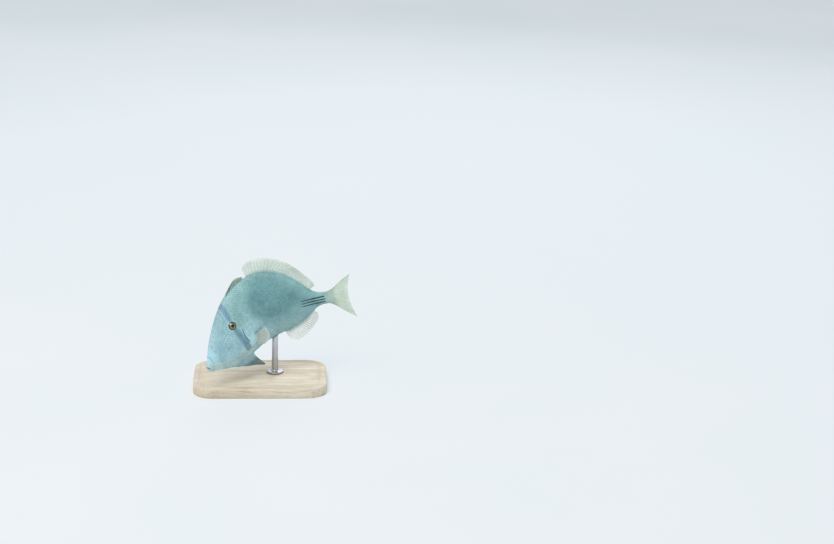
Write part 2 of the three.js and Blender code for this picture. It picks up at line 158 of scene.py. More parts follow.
# The flap under the belly: its lower edge runs from the chin to its tip, and from there up to a notch. The
# tip lies further back than the part of the belly that it hangs from, by the sweep.
FLAP_PLACES = [14, 29.2, 33, 34]
FLAP_EDGE = [float(BELLY(14)), -27.8, -17.6, float(BELLY(34))]
FLAP_SWEEP = [0, 7.8, 1, 0]
FLAP_REAR = [[34, -15.6], [34, -17.6], [37, -27.8]]
FLAP_ROOT_HALF, FLAP_EDGE_HALF = 2.3, 0.7
FLAP_EDGE_POWER, FLAP_FLARE_POWER, FLAP_DRAW_POWER = 12, 6, 1.15
KEEL_ANGLE = math.radians(14)


def flap_depth(place):
    """How far the flap hangs below the belly, in percent."""
    edge = np.interp(place, FLAP_PLACES, FLAP_EDGE)
    inside = (place > FLAP_PLACES[0]) & (place < FLAP_PLACES[-1])
    return np.where(inside, np.maximum(BELLY(place) - edge, 0), 0)


def keel_half(root_half, fall):
    """Half the flap's thickness: it flares to the belly's at its root, fall = 0, and is rounded at 1."""
    rounded = np.sqrt(np.maximum(1 - fall ** FLAP_EDGE_POWER, 0))
    sheet = mix(FLAP_ROOT_HALF, FLAP_EDGE_HALF, fall) * rounded
    return sheet + np.maximum(root_half - FLAP_ROOT_HALF, 0) * (1 - fall) ** FLAP_FLARE_POWER


def flank(place, angle):
    """The straight body's surface at an angle round the spine from the back. A section is an ellipse between
    the heights of back and belly, pinched at its sides, and swells round the eye socket. Near the belly's
    middle line it is drawn down into the flap."""
    up, side = np.cos(angle), np.sin(angle)
    middle = WIDEST_HEIGHT(place)
    reach = np.where(up > 0, BACK(place) - middle, middle - BELLY(place))
    height = middle + reach * up
    swell = SOCKET_SWELL * hump(np.hypot(place - EYE_PLACE, height - EYE_HEIGHT), SOCKET_REACH)
    width = HALF_WIDTH(place) * PERCENT + swell
    y = width * np.sign(side) * np.abs(side) ** PINCH(place)

    depth = flap_depth(place)
    fall = np.clip((np.arccos(np.clip(up, -1, 1)) - (np.pi - KEEL_ANGLE)) / KEEL_ANGLE, 0, 1)
    keel = keel_half(width * math.sin(KEEL_ANGLE) ** PINCH(place), fall)
    y = mix(y, np.sign(side) * keel, smooth(0, 2.5, depth) * smooth(0, 0.08, fall))
    drawn = PERCENT * fall ** FLAP_DRAW_POWER
    x = place * PERCENT + np.interp(place, FLAP_PLACES, FLAP_SWEEP) * drawn
    return np.stack([x, y, height * PERCENT - depth * drawn], axis=-1)


def outward(place, angle):
    """The direction straight out of flank(), from its slopes along the body and round it."""
    step, turn = 0.05, 0.004
    along = flank(place + step, angle) - flank(place - step, angle)
    around = flank(place, angle + turn) - flank(place, angle - turn)
    return unit(np.cross(along, around))


def angle_at(place, height, side):
    """The angle at which flank() has this height, on the right or left side."""
    middle = WIDEST_HEIGHT(place)
    reach = np.where(height > middle, BACK(place) - middle, middle - BELLY(place))
    return side * np.arccos(np.clip((height - middle) / reach, -1, 1))


# The bend and the pose.
def bend_directions(place):
    """Unit vectors along the spine, to the fish's right and to its back, turned by the tail's swing and
    drop."""
    share = smooth(BEND_START, BEND_END, place)
    swing, drop = math.radians(TAIL_SWING) * share, math.radians(TAIL_DROP) * share
    along = np.stack([np.cos(swing) * np.cos(drop), -np.sin(swing) * np.cos(drop), -np.sin(drop)], axis=-1)
    right = np.stack([np.sin(swing), np.cos(swing), np.zeros_like(swing)], axis=-1)
    return along, right, np.cross(along, right)


SPINE_PLACES = np.arange(0, 125, SPINE_STEP)
SPINE_STEPS = bend_directions(SPINE_PLACES + SPINE_STEP / 2)[0] * SPINE_STEP * PERCENT
SPINE = np.concatenate([[np.zeros(3)], np.cumsum(SPINE_STEPS, axis=0)])


def bent(points):
    """Straight points on the bent spine: each keeps its place on the spine and its offsets from it."""
    place = points[..., 0] / PERCENT
    step = np.clip(np.floor(place / SPINE_STEP).astype(int), 0, len(SPINE) - 2)
    along, right, up = bend_directions(place)
    rest = points[..., 0] - step * SPINE_STEP * PERCENT
    return SPINE[step] + along * rest[..., None] + right * points[..., 1:2] + up * points[..., 2:3]


TURN = np.array(
    Matrix.Rotation(math.radians(HEADING), 3, "Z")
    @ Matrix.Rotation(math.radians(-PITCH), 3, "Y")
    @ Matrix.Rotation(math.radians(BANK), 3, "X")
)


def eye_seat(side):
    """The middle of the eyeball, and the way it looks."""
    angle = angle_at(EYE_PLACE, EYE_HEIGHT, side)
    looks = outward(EYE_PLACE, angle)
    return flank(EYE_PLACE, angle) + looks * (EYE_STAND - EYE_RADIUS), looks


EYE_BOX = np.array([list(corner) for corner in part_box("eye_left")]) / MM
SHIFT = EYE_BOX.mean(axis=0) - TURN @ bent(eye_seat(LEFT)[0])


def posed(points):
    """Straight points, bent and set over the stand, in metres."""
    return (bent(points) @ TURN.T + SHIFT) * MM


# Meshes. A quad whose last corner is -1 is a triangle.
def grid_quads(rows, columns, closed=False):
    """Quads of a grid of vertices, row by row. A closed grid also joins its last column to its first."""
    last = columns if closed else columns - 1
    row, column = np.meshgrid(np.arange(rows - 1), np.arange(last), indexing="ij")
    after = (column + 1) % columns
    here, beyond = row * columns, (row + 1) * columns
    quads = [here + column, here + after, beyond + after, beyond + column]
    return np.stack(quads, axis=-1).reshape(-1, 4)


def fan(ring, middle):
    """Triangles from a closed ring of vertices to one point."""
    return np.stack([ring, np.roll(ring, -1), np.full_like(ring, middle), np.full_like(ring, -1)], axis=-1)


def capped(rings, ends=None):
    """Points and quads of a tube of closed rings, whose end rings are closed by fans to their middles, or to
    given ends. More such tubes may be stacked in front, and the quads are then those of the first."""
    count, around = rings.shape[-3:-1]
    if ends is None:
        ends = rings[..., [0, -1], :, :].mean(axis=-2)
    points = np.concatenate([rings.reshape(*rings.shape[:-3], -1, 3), ends], axis=-2)
    first = np.arange(around)
    quads = np.concatenate([
        grid_quads(count, around, closed=True),
        fan(first[::-1], count * around),
        fan(first + (count - 1) * around, count * around + 1),
    ])
    return points, quads


def copied(one, bodies):
    """The quads of one body, written for all the bodies of shape (body, vertex, 3)."""
    shift = (np.arange(bodies.shape[0]) * bodies.shape[1])[:, None, None]
    return np.where(one[None] < 0, -1, one[None] + shift).reshape(-1, 4)


def faces_outward(points, quads):
    """The quads, all turned over if the volume that they enclose is negative."""
    whole = (quads[:, 3] >= 0)[:, None]
    a, b, c = (points[quads[:, k]] for k in range(3))
    d = np.where(whole, points[quads[:, 3]], a)
    off = a - points.mean(axis=0)
    volume = (np.cross(b - a, c - a) * off).sum() + (np.cross(c - a, d - a) * off).sum()
    if volume >= 0:
        return quads
    return np.where(whole, quads[:, ::-1], quads[:, [2, 1, 0, 3]])


def mesh_of(name, points, quads, attributes, bake_map):
    """A smooth mesh from points in metres, with values and places in the bake map for its vertices."""
    sizes = np.where(quads[:, 3] < 0, 3, 4)
    corners = quads[np.arange(4) < sizes[:, None]]
    mesh = bpy.data.meshes.new(name)
    mesh.vertices.add(len(points))
    mesh.vertices.foreach_set("co", points.astype(np.float32).ravel())
    mesh.loops.add(len(corners))
    mesh.loops.foreach_set("vertex_index", corners.astype(np.int32))
    mesh.polygons.add(len(sizes))
    mesh.polygons.foreach_set("loop_start", (np.cumsum(sizes) - sizes).astype(np.int32))
    mesh.update(calc_edges=True)
    mesh.polygons.foreach_set("use_smooth", np.full(len(sizes), True))
    for key, values in attributes.items():
        stored = mesh.attributes.new(key, "FLOAT", "POINT")
        stored.data.foreach_set("value", np.asarray(values, np.float32).ravel())
    if bake_map is not None:
        layer = mesh.uv_layers.new(name="OFBake")
        layer.data.foreach_set("uv", bake_map[corners].astype(np.float32).ravel())
    mesh.validate()
    return mesh


def piece(name, points, quads, finish, replaced=(), attributes=None, bake_map=None):
    """An object on the root body, its material and the nodes that it stands for."""
    mesh = mesh_of(name, points, faces_outward(points, quads), attributes or {}, bake_map)
    thing = bpy.data.objects.new(name, mesh)
    bpy.context.scene.collection.objects.link(thing)
    thing.data.materials.append(MATERIALS[finish])
    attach(thing, "root")
    if replaced:
        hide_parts(*replaced)


# Markings. Each is a distance in millimetres, seen from the side, and below 0 inside the marking.
EYE_BAND = [[31.6, 27.6], [29.4, 19], [28.2, 13], [28.8, 5], [29.8, -6.2]]
BAND_HALF_TOP, BAND_HALF_BOTTOM = 2.0, 3.4
BAND_LINES = [
    [[28.2, 26.5], [26.2, 19.4]], [[30.6, 28.4], [28.2, 19.8]], [[33.4, 29.4], [30.8, 20]],
    [[26.6, 10.6], [26.9, 4], [27.6, -7]], [[30.3, 9.4], [30.8, 3], [31.8, -5.6]],
]
MOUTH_STRIPE = [[3.2, -0.4], [9, -3.4], [18, -6.4], [27, -8.2], [33.4, -7.6]]
LIP_END, LIP_LINE_PLACE = 2.9, 4.3
CHEEK_CLOUD = [[14.5, 9.5], [18.5, 4]]
PATCH_SPINE = [[51, 13], [62, 14], [76, 8], [90, 1]]
PATCH_HALF = profile([[40, 12], [48, 21], [58, 33], [68, 29], [78, 17], [88, 8], [96, 5]])
BAR_FIRST, BAR_PITCH, BAR_HALF, BAR_SLANT = 47, 6.2, 0.23, 0.62
BARS_MIDDLE, BARS_HALF = 56, 15.5
SPINE_ROWS = [2.6, 0.6, -1.4]
SPINE_ROW_START, SPINE_ROW_END = 81.5, 96.8


def bar_distance(place, height):
    """From the pale slanting bars, which end at a line that falls towards the tail."""
    across = place + BAR_SLANT * height
    phase = (across - BAR_FIRST) / BAR_PITCH
    bars = (np.abs(phase - np.floor(phase) - 0.5) - BAR_HALF) * BAR_PITCH * PERCENT
    bars = np.maximum(bars, (np.abs(across - BARS_MIDDLE) - BARS_HALF) * PERCENT)
    return np.maximum(bars, (height - mix(1, -4, smooth(50, 76, place))) * PERCENT)


def markings(place, angle):
    """The distances from the flank patch, its pale bars, the eye band, the blue lines, the mouth stripe, lips
    and the line behind them, the cloud on the cheek and the dark spine rows. upness goes from -1 at the belly
    to 1 at the back, and below tells how far the flap hangs under the belly's line."""
    lips = (place - LIP_END) * PERCENT
    place = np.maximum(place, 0)
    height = flank(place, angle)[..., 2] / PERCENT
    upness = np.cos(angle)
    lip_line = np.abs(place - LIP_LINE_PLACE - 0.5 * upness) * PERCENT + smooth(0.1, -0.3, upness)
    rows = [[[SPINE_ROW_START, row], [SPINE_ROW_END, row]] for row in SPINE_ROWS]
    return {
        "upness": upness,
        "place": place + 0 * upness,
        "patch": away_from(place, height, PATCH_SPINE) - PATCH_HALF(place),
        "bars": bar_distance(place, height),
        "band": away_from(place, height, EYE_BAND)
        - mix(BAND_HALF_TOP, BAND_HALF_BOTTOM, smooth(16, -4, height)),
        "lines": np.minimum(away_from(place, height, *BAND_LINES), lip_line),
        "stripe": away_from(place, height, MOUTH_STRIPE),
        "lips": lips,
        "cloud": away_from(place, height, CHEEK_CLOUD),
        "below": (BELLY(place) - height) * PERCENT,
        "spine_rows": away_from(place, height, *rows),
    }


# Skin.
SKIN_NODES = ["head", "trunk", "tail_stem", "pelvic_flap"]
OUTER_RINGS, LIP_RINGS, MOUTH_RINGS = 386, 34, 12
BODY_SIDES, KEEL_SIDES = 90, 25
SKIN_DEPTH = 0.12
LIP_PLACE = 2.4
RING_DENSITY = [
    [LIP_PLACE, 5], [5, 3], [8, 1.4], [20, 1.2], [30.4, 1.2], [31, 2.9], [33.6, 2.9], [36, 1.9], [41, 1.8],
    [43, 1.1], [90, 1], [98, 2], [102.6, 2.4],
]
SIDE_DENSITY = [[0, 1.1], [40, 1.1], [48, 2.2], [72, 2.2], [80, 1], [166, 1]]
EYE_BLOCK, EYE_BLOCK_FADE = 14, 0.6
EYE_RINGS = profile([[0, 0], [0.2, 3.7], [0.6, 5.5], [0.8, 6.8], [1, 9]])
SOCKET = profile([
    [0, -2.5], [3.9, -2.5], [4.2, -1.3], [4.45, 0.15], [4.8, 0.5], [5.3, 0.45], [6.1, 0.12], [6.8, -0.12],
    [7.8, 0], [9, 0],
])
MOUTH_HALF_WIDTH, MOUTH_HALF_HEIGHT, MOUTH_DEPTH, CORNER_DEPTH = 4.0, 1.6, 4.6, 2.0
GAPE = profile([[0, 1], [0.3, 1.06], [0.7, 0.95], [1, 0.2]])
LIP_REACH = profile([
    [0, 0], [0.15, 0.05], [0.3, 0.17], [0.45, 0.36], [0.6, 0.52], [0.7, 0.6], [0.8, 0.72], [0.9, 0.87],
    [1, 1],
])
LIP_FRONT = profile([
    [0, 2.5], [0.15, 1.15], [0.3, 0.25], [0.45, 0.15], [0.6, 0.85], [0.7, 1.75], [0.8, 2.0], [0.9, 2.85],
    [1, LIP_PLACE * PERCENT],
])
NOSTRILS = [[24.5, 15.9], [23.6, 14.8]]
PECTORAL_BASE = [[36.4, -1.2], [35.6, -5.8]]
PELVIC_BONE = [[26, -13], [28.2, -20.5], [29, -25.4]]
GILL_PLACE, GILL_TOP, GILL_BOTTOM, GILL_BOW = 31.6, 8.0, -3.0, 0.9
TAIL_RAYS, TAIL_ROOT_HALF, TAIL_ROOT_HEIGHT = 14, 4.3, 0.3

# Each fold's line, and how far it stands out and reaches in millimetres: a groove before the eye, a fold
# of the jaw and the foot of a side fin.
FOLDS = [
    [[[24, 12.4], [21, 11.2], [18, 9.6]], -0.5, 0.9],
    [[[4.4, -2.2], [6.5, -4.6], [9, -6]], -0.3, 0.8],
    [PECTORAL_BASE, 0.8, 2.2],
]


def skin_angles():
    """Angles right round the body: closer round the eyes, and on the flap by the belly's middle line."""
    body = crowded(BODY_SIDES + 1, SIDE_DENSITY)
    keel = np.linspace(SIDE_DENSITY[-1][0], 180, KEEL_SIDES + 1)
    half = np.radians(np.concatenate([body[:-1], keel]))
    return np.concatenate([half, 2 * np.pi - half[-2:0:-1]])


def eye_distance(points, side):
    """Millimetres from the line along which the eye looks, and the turn round it. The head's other side is
    far."""
    middle, looks = eye_seat(side)
    away = points - middle
    off = away - (away @ looks)[..., None] * looks
    distance = np.where(side * points[..., 1] > 0, np.linalg.norm(off, axis=-1), 99)
    return distance, np.arctan2(off[..., 2], off[..., 0])


def ringed(place, angle, side):
    """Draws the grid's lines near an eye into rings round it. In a square block of the grid, a vertex keeps
    its direction from the eye's middle, and its share of the way to the block's edge gives its ring's radius.
    The rings fade into the plain grid towards that edge."""
    eye_angle = angle_at(EYE_PLACE, EYE_HEIGHT, side)
    eye_turn = eye_angle % (2 * np.pi)
    row, column = np.abs(place[:, 0] - EYE_PLACE).argmin(), np.abs(angle[0] - eye_turn).argmin()
    block = np.arange(-EYE_BLOCK, EYE_BLOCK + 1)
    near = np.ix_(row + block, column + block)
    share = np.maximum(np.abs(block)[:, None], np.abs(block)[None]) / EYE_BLOCK
    step = 1e-3
    along = (flank(EYE_PLACE + step, eye_angle) - flank(EYE_PLACE - step, eye_angle)) / (2 * step)
    around = (flank(EYE_PLACE, eye_angle + step) - flank(EYE_PLACE, eye_angle - step)) / (2 * step)
    first = unit(along)
    second = unit(around - first * (around @ first))
    slopes = np.array([[along @ first, around @ first], [along @ second, around @ second]])
    offset = np.stack([place[near] - EYE_PLACE, angle[near] - eye_turn], axis=-1) @ slopes.T
    away = np.linalg.norm(offset, axis=-1)
    wanted = mix(EYE_RINGS(share), away, smooth(EYE_BLOCK_FADE, 1, share))
    moved = (unit(offset) * wanted[..., None]) @ np.linalg.inv(slopes).T
    place, angle = place.copy(), angle.copy()
    place[near] = EYE_PLACE + moved[..., 0]
    angle[near] = eye_turn + moved[..., 1]
    return place, angle


def ray_ridge(u, v, rays, fork):
    """1 on a ray and 0 on the web between. A ray splits in two at the fork, and in four further out, and its
    branches grow thinner."""
    signed = (u * (rays - 1) + 0.5) % 1 - 0.5
    first = 0.21 * smooth(fork, 1.1, v)
    second = 0.1 * smooth(fork + 0.32, 1.15, v)
    width = mix(0.17, 0.06, smooth(0, 1, v))
    branches = [hump(signed - p * first - q * second, width) for p in (-1, 1) for q in (-1, 1)]
    return np.max(branches, axis=0)


def tail_rays(place, height):
    """1 on the fleshy foot of a tail ray and 0 between, where the stem runs out into the fin."""
    half = mix(TAIL_ROOT_HALF, 7, smooth(STEM_END, 104, place))
    across = (height - TAIL_ROOT_HEIGHT) / (2 * half) + 0.5
    return ray_ridge(np.clip(across, 0, 1), 0, TAIL_RAYS, 0.25) * smooth(98.6, 101.2, place)


def slit_distance(place, height):
    """Millimetres behind the bowed gill slit, and below 0 before it."""
    share = (height - (GILL_TOP + GILL_BOTTOM) / 2) / ((GILL_TOP - GILL_BOTTOM) / 2)
    return (place - GILL_PLACE - GILL_BOW * share ** 2) * PERCENT


def slit_share(height, outer, inner):
    """1 along the gill slit and 0 beyond its ends, with a change from outer to inner percent past an end."""
    low = smooth(GILL_BOTTOM - outer, GILL_BOTTOM - inner, height)
    return low * smooth(GILL_TOP + outer, GILL_TOP + inner, height)


def skin_relief(place, surface):
    """How far the skin stands out of the plain flank, in millimetres: eye folds, gill slit, nostrils, the
    groove before the eye, jaw fold, fin bases, the groove of the first back fin and folds on the flap."""
    height = surface[..., 2] / PERCENT
    relief = np.zeros_like(place)
    for side in (RIGHT, LEFT):
        away, turn = eye_distance(surface, side)
        relief += SOCKET(away) + 0.05 * np.cos(44 * turn) * hump(away - 5.4, 0.7)
    off = slit_distance(place, height)
    relief += slit_share(height, 0.6, -0.6) * (0.45 * hump(off + 1.2, 0.9) - 1.7 * hump(off, 0.5))
    for nostril_place, nostril_height in NOSTRILS:
        away = np.hypot(place - nostril_place, height - nostril_height) * PERCENT
        relief += 0.3 * hump(away - 1.05, 0.35) - 1.2 * hump(away, 0.55)
    for line, rise, width in FOLDS:
        relief += rise * hump(away_from(place, height, line), width)
    back_groove = smooth(36.5, 38.5, place) * smooth(54.8, 53.4, place)
    relief -= 0.7 * back_groove * hump(surface[..., 1], 1.5) * (height > 20)
    flap = smooth(0.5, 4, flap_depth(place)) * smooth(-13.5, -16, height)
    relief += 0.2 * flap * np.sin(2 * np.pi * (place * 0.62 + height * 0.42))
    relief += 0.6 * hump(away_from(place, height, PELVIC_BONE), 1.7) * smooth(-12, -17, height)
    relief += 0.28 * tail_rays(place, height)
    return relief


def lip_grid(angle):
    """The lips and mouth: from the back of the mouth out to its rim, and round the lips to the snout. The rim
    is a flat ellipse whose corners lie further back, and a lip swells forwards between it and the snout."""
    turn = np.linspace(0, 1, LIP_RINGS, endpoint=False)[:, None]
    corner = CORNER_DEPTH * np.abs(np.sin(angle)) ** 3
    rim = np.stack([corner, MOUTH_HALF_WIDTH * np.sin(angle), MOUTH_HALF_HEIGHT * np.cos(angle)], axis=-1)
    snout = flank(np.full_like(angle, LIP_PLACE), angle)
    inwards = np.stack([0 * angle, np.sign(np.sin(angle)) * np.abs(np.sin(angle)) ** PINCH(LIP_PLACE),
                        np.cos(angle)], axis=-1)
    snout = snout - SKIN_DEPTH * inwards
    share = LIP_REACH(turn)
    lip = mix(rim[None], snout[None], share[..., None])
    under = 0.35 * smooth(0.2, -0.6, np.cos(angle))
    pucker = 0.05 * np.sin(34 * angle) * np.sin(np.pi * turn)
    lip[..., 0] = LIP_FRONT(turn) + (1 - share) * (corner + under) + pucker
    depth = np.linspace(1, 0, MOUTH_RINGS, endpoint=False)[:, None]
    mouth = rim[None] * GAPE(depth)[..., None]
    mouth[..., 0] = lip[:1, :, 0] + depth * MOUTH_DEPTH
    return np.concatenate([mouth, lip])


def skin_marks(place, turn, relief, angle):
    """The markings of the skin's vertices, with the mouth's and lips' rings first, and painted shade in its
    creases and inside the mouth.
    """
    inner = np.concatenate([np.full(MOUTH_RINGS, -1.0), np.linspace(0, LIP_PLACE, LIP_RINGS)])
    inner_place, inner_turn = np.meshgrid(inner, angle, indexing="ij")
    marks = markings(np.concatenate([inner_place, place]), np.concatenate([inner_turn, turn]))
    # Painted shade where the skin sinks into grooves, slits and hollows.
    painted_crease_shade = np.concatenate([np.zeros_like(inner_place), smooth(-0.15, -1.2, relief)])
    # Painted shade fills the inside of the mouth.
    painted_crease_shade[:MOUTH_RINGS] = 1
    marks["painted_crease_shade"] = painted_crease_shade
    marks["scale_tint"] = np.full_like(painted_crease_shade, 0.5)
    return {key: np.append(value.ravel(), value.ravel()[[0, -1]]) for key, value in marks.items()}


def skin():
    """One closed skin from the back of the mouth over lips, head, trunk and flap to the tail fin's root."""
    angle = skin_angles()
    place, turn = np.meshgrid(crowded(OUTER_RINGS, RING_DENSITY), angle, indexing="ij")
    for side in (RIGHT, LEFT):
        place, turn = ringed(place, turn, side)
    surface = flank(place, turn)
    relief = skin_relief(place, surface) * smooth(LIP_PLACE, 4, place)
    body = surface + outward(place, turn) * (relief - SKIN_DEPTH)[..., None]
    points, quads = capped(np.concatenate([lip_grid(angle), body]))
    marks = skin_marks(place, turn, relief, angle)
    piece("skin", posed(points), quads, "skin", SKIN_NODES, marks)


# Scales.
SCALE_SIZE = profile([[4, 1.9], [12, 2.3], [30, 2.9], [55, 3.5], [66, 3.4], [82, 2.5], [102, 1.9]])
SCALE_PLACES = np.linspace(4, 102.3, 2000)
SCALE_STEPS = np.diff(SCALE_PLACES) * PERCENT / SCALE_SIZE(SCALE_PLACES[1:])
SCALE_COUNTS = np.concatenate([[0], np.cumsum(SCALE_STEPS)])
SCALE_LIFT, SCALE_DOME, SCALE_SUNK, PLATE_DEPTH = 0.15, 0.05, 0.05, 0.45
PLATE_SIDE = 6
LATTICE = np.arange(-90, 170)
SCUTES = [[34.0, 5.4], [34.3, 3.5], [34.6, 1.6]]
SCUTE_GROWTH = 1.8
SCUTE_SKIN = [[34.0, 5.4], [34.2, 1.6], [33.2, -2.2], [32.2, -4.4]]
BAKE_PLACE_SPAN, BAKE_PLATE_HALF = 110, 0.0015


def girth_table():
    """For each place, the angle at which the surface has run a given length, in millimetres, from its widest
    point: up to the back it is positive, and down to the belly negative. Then the lengths of both ends."""
    places = np.linspace(3, 102.5, 399)
    angles = np.linspace(0, np.pi, 721)
    widest = len(angles) // 2
    place, angle = np.meshgrid(places, angles, indexing="ij")
    points = flank(place, angle)[..., 1:]
    steps = np.linalg.norm(np.diff(points, axis=1), axis=-1)
    run = np.concatenate([np.zeros((len(places), 1)), np.cumsum(steps, axis=1)], axis=1)
    run = run[:, widest:widest + 1] - run
    lengths = np.arange(-75, 75, 0.5)
    table = np.stack([np.interp(lengths, row[::-1], angles[::-1]) for row in run])
    return places, lengths, table, run[:, 0], run[:, -1]


GIRTH_PLACES, GIRTH_LENGTHS, GIRTH_ANGLES, GIRTH_TOP, GIRTH_BOTTOM = girth_table()


def girth_angle(place, length):
    """The angle at a place and girth length, read between the rows and columns of the table."""
    places, lengths, table = GIRTH_PLACES, GIRTH_LENGTHS, GIRTH_ANGLES
    row = np.clip((place - places[0]) / (places[1] - places[0]), 0, len(places) - 1.001)
    column = np.clip((length - lengths[0]) / (lengths[1] - lengths[0]), 0, len(lengths) - 1.001)
    i, j = row.astype(int), column.astype(int)
    near = mix(table[i, j], table[i, j + 1], column - j)
    far = mix(table[i + 1, j], table[i + 1, j + 1], column - j)
    return mix(near, far, row - i)


def place_of(count):
    """The place that lies this many scales behind the first."""
    return np.interp(count, SCALE_COUNTS, SCALE_PLACES)


def bareness(place, point):
    """0 where scales stand, rising to 1 where the skin is bare: lips, round the eye, gill slit, nostrils,
    scutes and side fin, along the flap's rear edge, and at the tail fin's root."""
    height = point[..., 2] / PERCENT
    nostril = np.min([np.hypot(place - p, height - h) * PERCENT for p, h in NOSTRILS], axis=0)
    return np.max([
        smooth(10.5, 6, place),
        smooth(9.6, 7.2, eye_distance(point, RIGHT)[0]),
        smooth(2.6, 1.5, np.abs(slit_distance(place, height))) * slit_share(height, 1.6, 0.4),
        smooth(3.4, 2.0, nostril),
        smooth(3.1, 2.3, away_from(place, height, SCUTE_SKIN)),
        smooth(4.6, 3.0, away_from(place, height, PECTORAL_BASE)),
        smooth(2.2, 1.1, away_from(point[..., 0] / PERCENT, height, FLAP_REAR)),
        smooth(99, 102.4, place),
    ], axis=0)


def scale_seats():
    """The middles of the scales on one side, on a lattice of slanting rows whose step is SCALE_SIZE, apart
    from bare skin, and then of the larger bony scutes behind the gill slit. Each has its run along the body
    and its rise round it, both counted in scales, its bareness, and its size beside that of a plain scale."""
    i, j = np.meshgrid(LATTICE, LATTICE, indexing="ij")
    run, rise = ((i + j) / 2).ravel(), ((i - j) / 2).ravel()
    keep = (run > 0) & (run < SCALE_COUNTS[-1])
    run, rise = run[keep], rise[keep]
    place = place_of(run)
    length = rise * SCALE_SIZE(place)
    top, bottom = (np.interp(place, GIRTH_PLACES, end) for end in (GIRTH_TOP, GIRTH_BOTTOM))
    keep = (length < top) & (length > bottom)
    run, rise, place, length = run[keep], rise[keep], place[keep], length[keep]
    bare = bareness(place, flank(place, girth_angle(place, length)))
    scales = np.stack([run, rise, bare, np.ones_like(run)])[:, bare < 1]
    scute_place, scute_height = np.array(SCUTES).T
    scute_rise = (scute_height - WIDEST_HEIGHT(scute_place)) * PERCENT / SCALE_SIZE(scute_place)
    scute_run = np.interp(scute_place, SCALE_PLACES, SCALE_COUNTS)
    scutes = np.stack([scute_run, scute_rise, 0 * scute_run, np.full_like(scute_run, SCUTE_GROWTH)])
    return np.concatenate([scales, scutes], axis=1)


SEATS = scale_seats()


def plate_rim():
    """The outer vertices of a plate's square grid, in order."""
    side, total = PLATE_SIDE, PLATE_SIDE ** 2
    return np.concatenate([
        np.arange(side - 1), np.arange(side - 1, total - 1, side),
        np.arange(total - 1, total - side, -1), np.arange(total - side, 0, -side),
    ])


RIM = plate_rim()


def plate_quads():
    """One plate's faces: its top, the skirt that goes down from its rim, and a fan that closes it below."""
    skirt = np.arange(len(RIM)) + PLATE_SIDE ** 2
    wall = np.stack([RIM, np.roll(RIM, -1), np.roll(skirt, -1), skirt], axis=-1)
    under = fan(skirt[::-1], PLATE_SIDE ** 2 + len(RIM))
    return np.concatenate([grid_quads(PLATE_SIDE, PLATE_SIDE)[:, ::-1], wall[:, ::-1], under])


def scale_coat(name, side, start, end):
    """Diamond plates on one side, from one place to another. Each follows the flank, domed in its middle,
    with its rear edge standing over the next plate's front and its rim sunk in the skin. a and b go from -1
    at its front to 1 at its rear edges."""
    here = (place_of(SEATS[0]) >= start) & (place_of(SEATS[0]) < end)
    run, rise, bare, growth = SEATS[:, here, None]
    chance = np.random.default_rng(7 + side).random((3, len(run)))[..., None]
    step = np.linspace(-1, 1, PLATE_SIDE)
    a, b = (axis.ravel() for axis in np.meshgrid(step, step, indexing="ij"))
    size = (0.5 + 0.015 * (chance[0] - 0.5) - 0.1 * bare) * (1 - 0.1 * (a * b) ** 2) * growth
    place = place_of(run + (a + b) / 2 * size)
    angle = side * girth_angle(place, (rise + (a - b) / 2 * size) * SCALE_SIZE(place))
    dome = (1 - a ** 2) * (1 - b ** 2)
    lift = SCALE_LIFT * (a + b + 2) / 4 + SCALE_DOME * dome + 0.04 * (chance[1] - 0.5)
    lift = (lift * growth ** 1.5 * SCALE_SIZE(place) / SCALE_SIZE(55)) - SCALE_SUNK - 0.3 * bare
    surface, normal = flank(place, angle), outward(place, angle)
    relief = skin_relief(place, surface)
    top = surface + normal * (lift + relief)[..., None]
    skirt = (surface + normal * (relief - PLATE_DEPTH)[..., None])[:, RIM]
    body = np.concatenate([top, skirt, skirt.mean(axis=1, keepdims=True)], axis=1)
    marks = markings(place, angle)
    # Painted shade along each plate's rim, where it meets the next plate.
    marks["painted_crease_shade"] = 0.2 * np.maximum(np.abs(a), np.abs(b)) ** 12 + 0 * place
    marks["scale_tint"] = chance[2] + 0 * place
    marks = {key: np.concatenate([value, value[:, RIM], value[:, :1]], axis=1)
             for key, value in marks.items()}
    patch = BAKE_PLATE_HALF * np.stack([a, b], axis=-1)
    patch = np.concatenate([patch, patch[RIM], [[0, 0]]])
    seat = np.stack([place.mean(axis=1) / BAKE_PLACE_SPAN, angle.mean(axis=1) / (2 * np.pi) + 0.5], axis=-1)
    bake_map = (seat[:, None] + patch).reshape(-1, 2)
    quads = copied(plate_quads(), body)
    piece(name, posed(body.reshape(-1, 3)), quads, "skin", (), marks, bake_map)


# Fins.
FOOT_REACH = 0.25
SPINES = [[12.5, 1.7], [9.8, 1.1], [7.2, 0.9], [4.6, 0.6], [1.8, 0.5]]
SPINY_START, SPINY_END, SPINY_FOLD, SPINY_DIP, SPINY_SUNK = 38, 52.5, math.radians(62), 0.2, 2.5


def tapered(root, tip, foot=0):
    """Half a fin's thickness, which falls evenly from root to tip, with more of it, foot, near the root."""
    return lambda v, u: foot * np.maximum(0, 1 - v / FOOT_REACH) + mix(root, tip, v)


def sheet_quads(rows, columns):
    """Faces of a sheet whose rows go out along one face and back along the other, with root and edge."""
    near = np.arange(columns)
    far = 2 * columns - 1 - near
    root = np.stack([near[:-1], near[1:], far[1:], far[:-1]], axis=-1)
    edge = (root + (rows - 1) * 2 * columns)[:, ::-1]
    return np.concatenate([grid_quads(rows, 2 * columns, closed=True)[:, ::-1], root, edge])


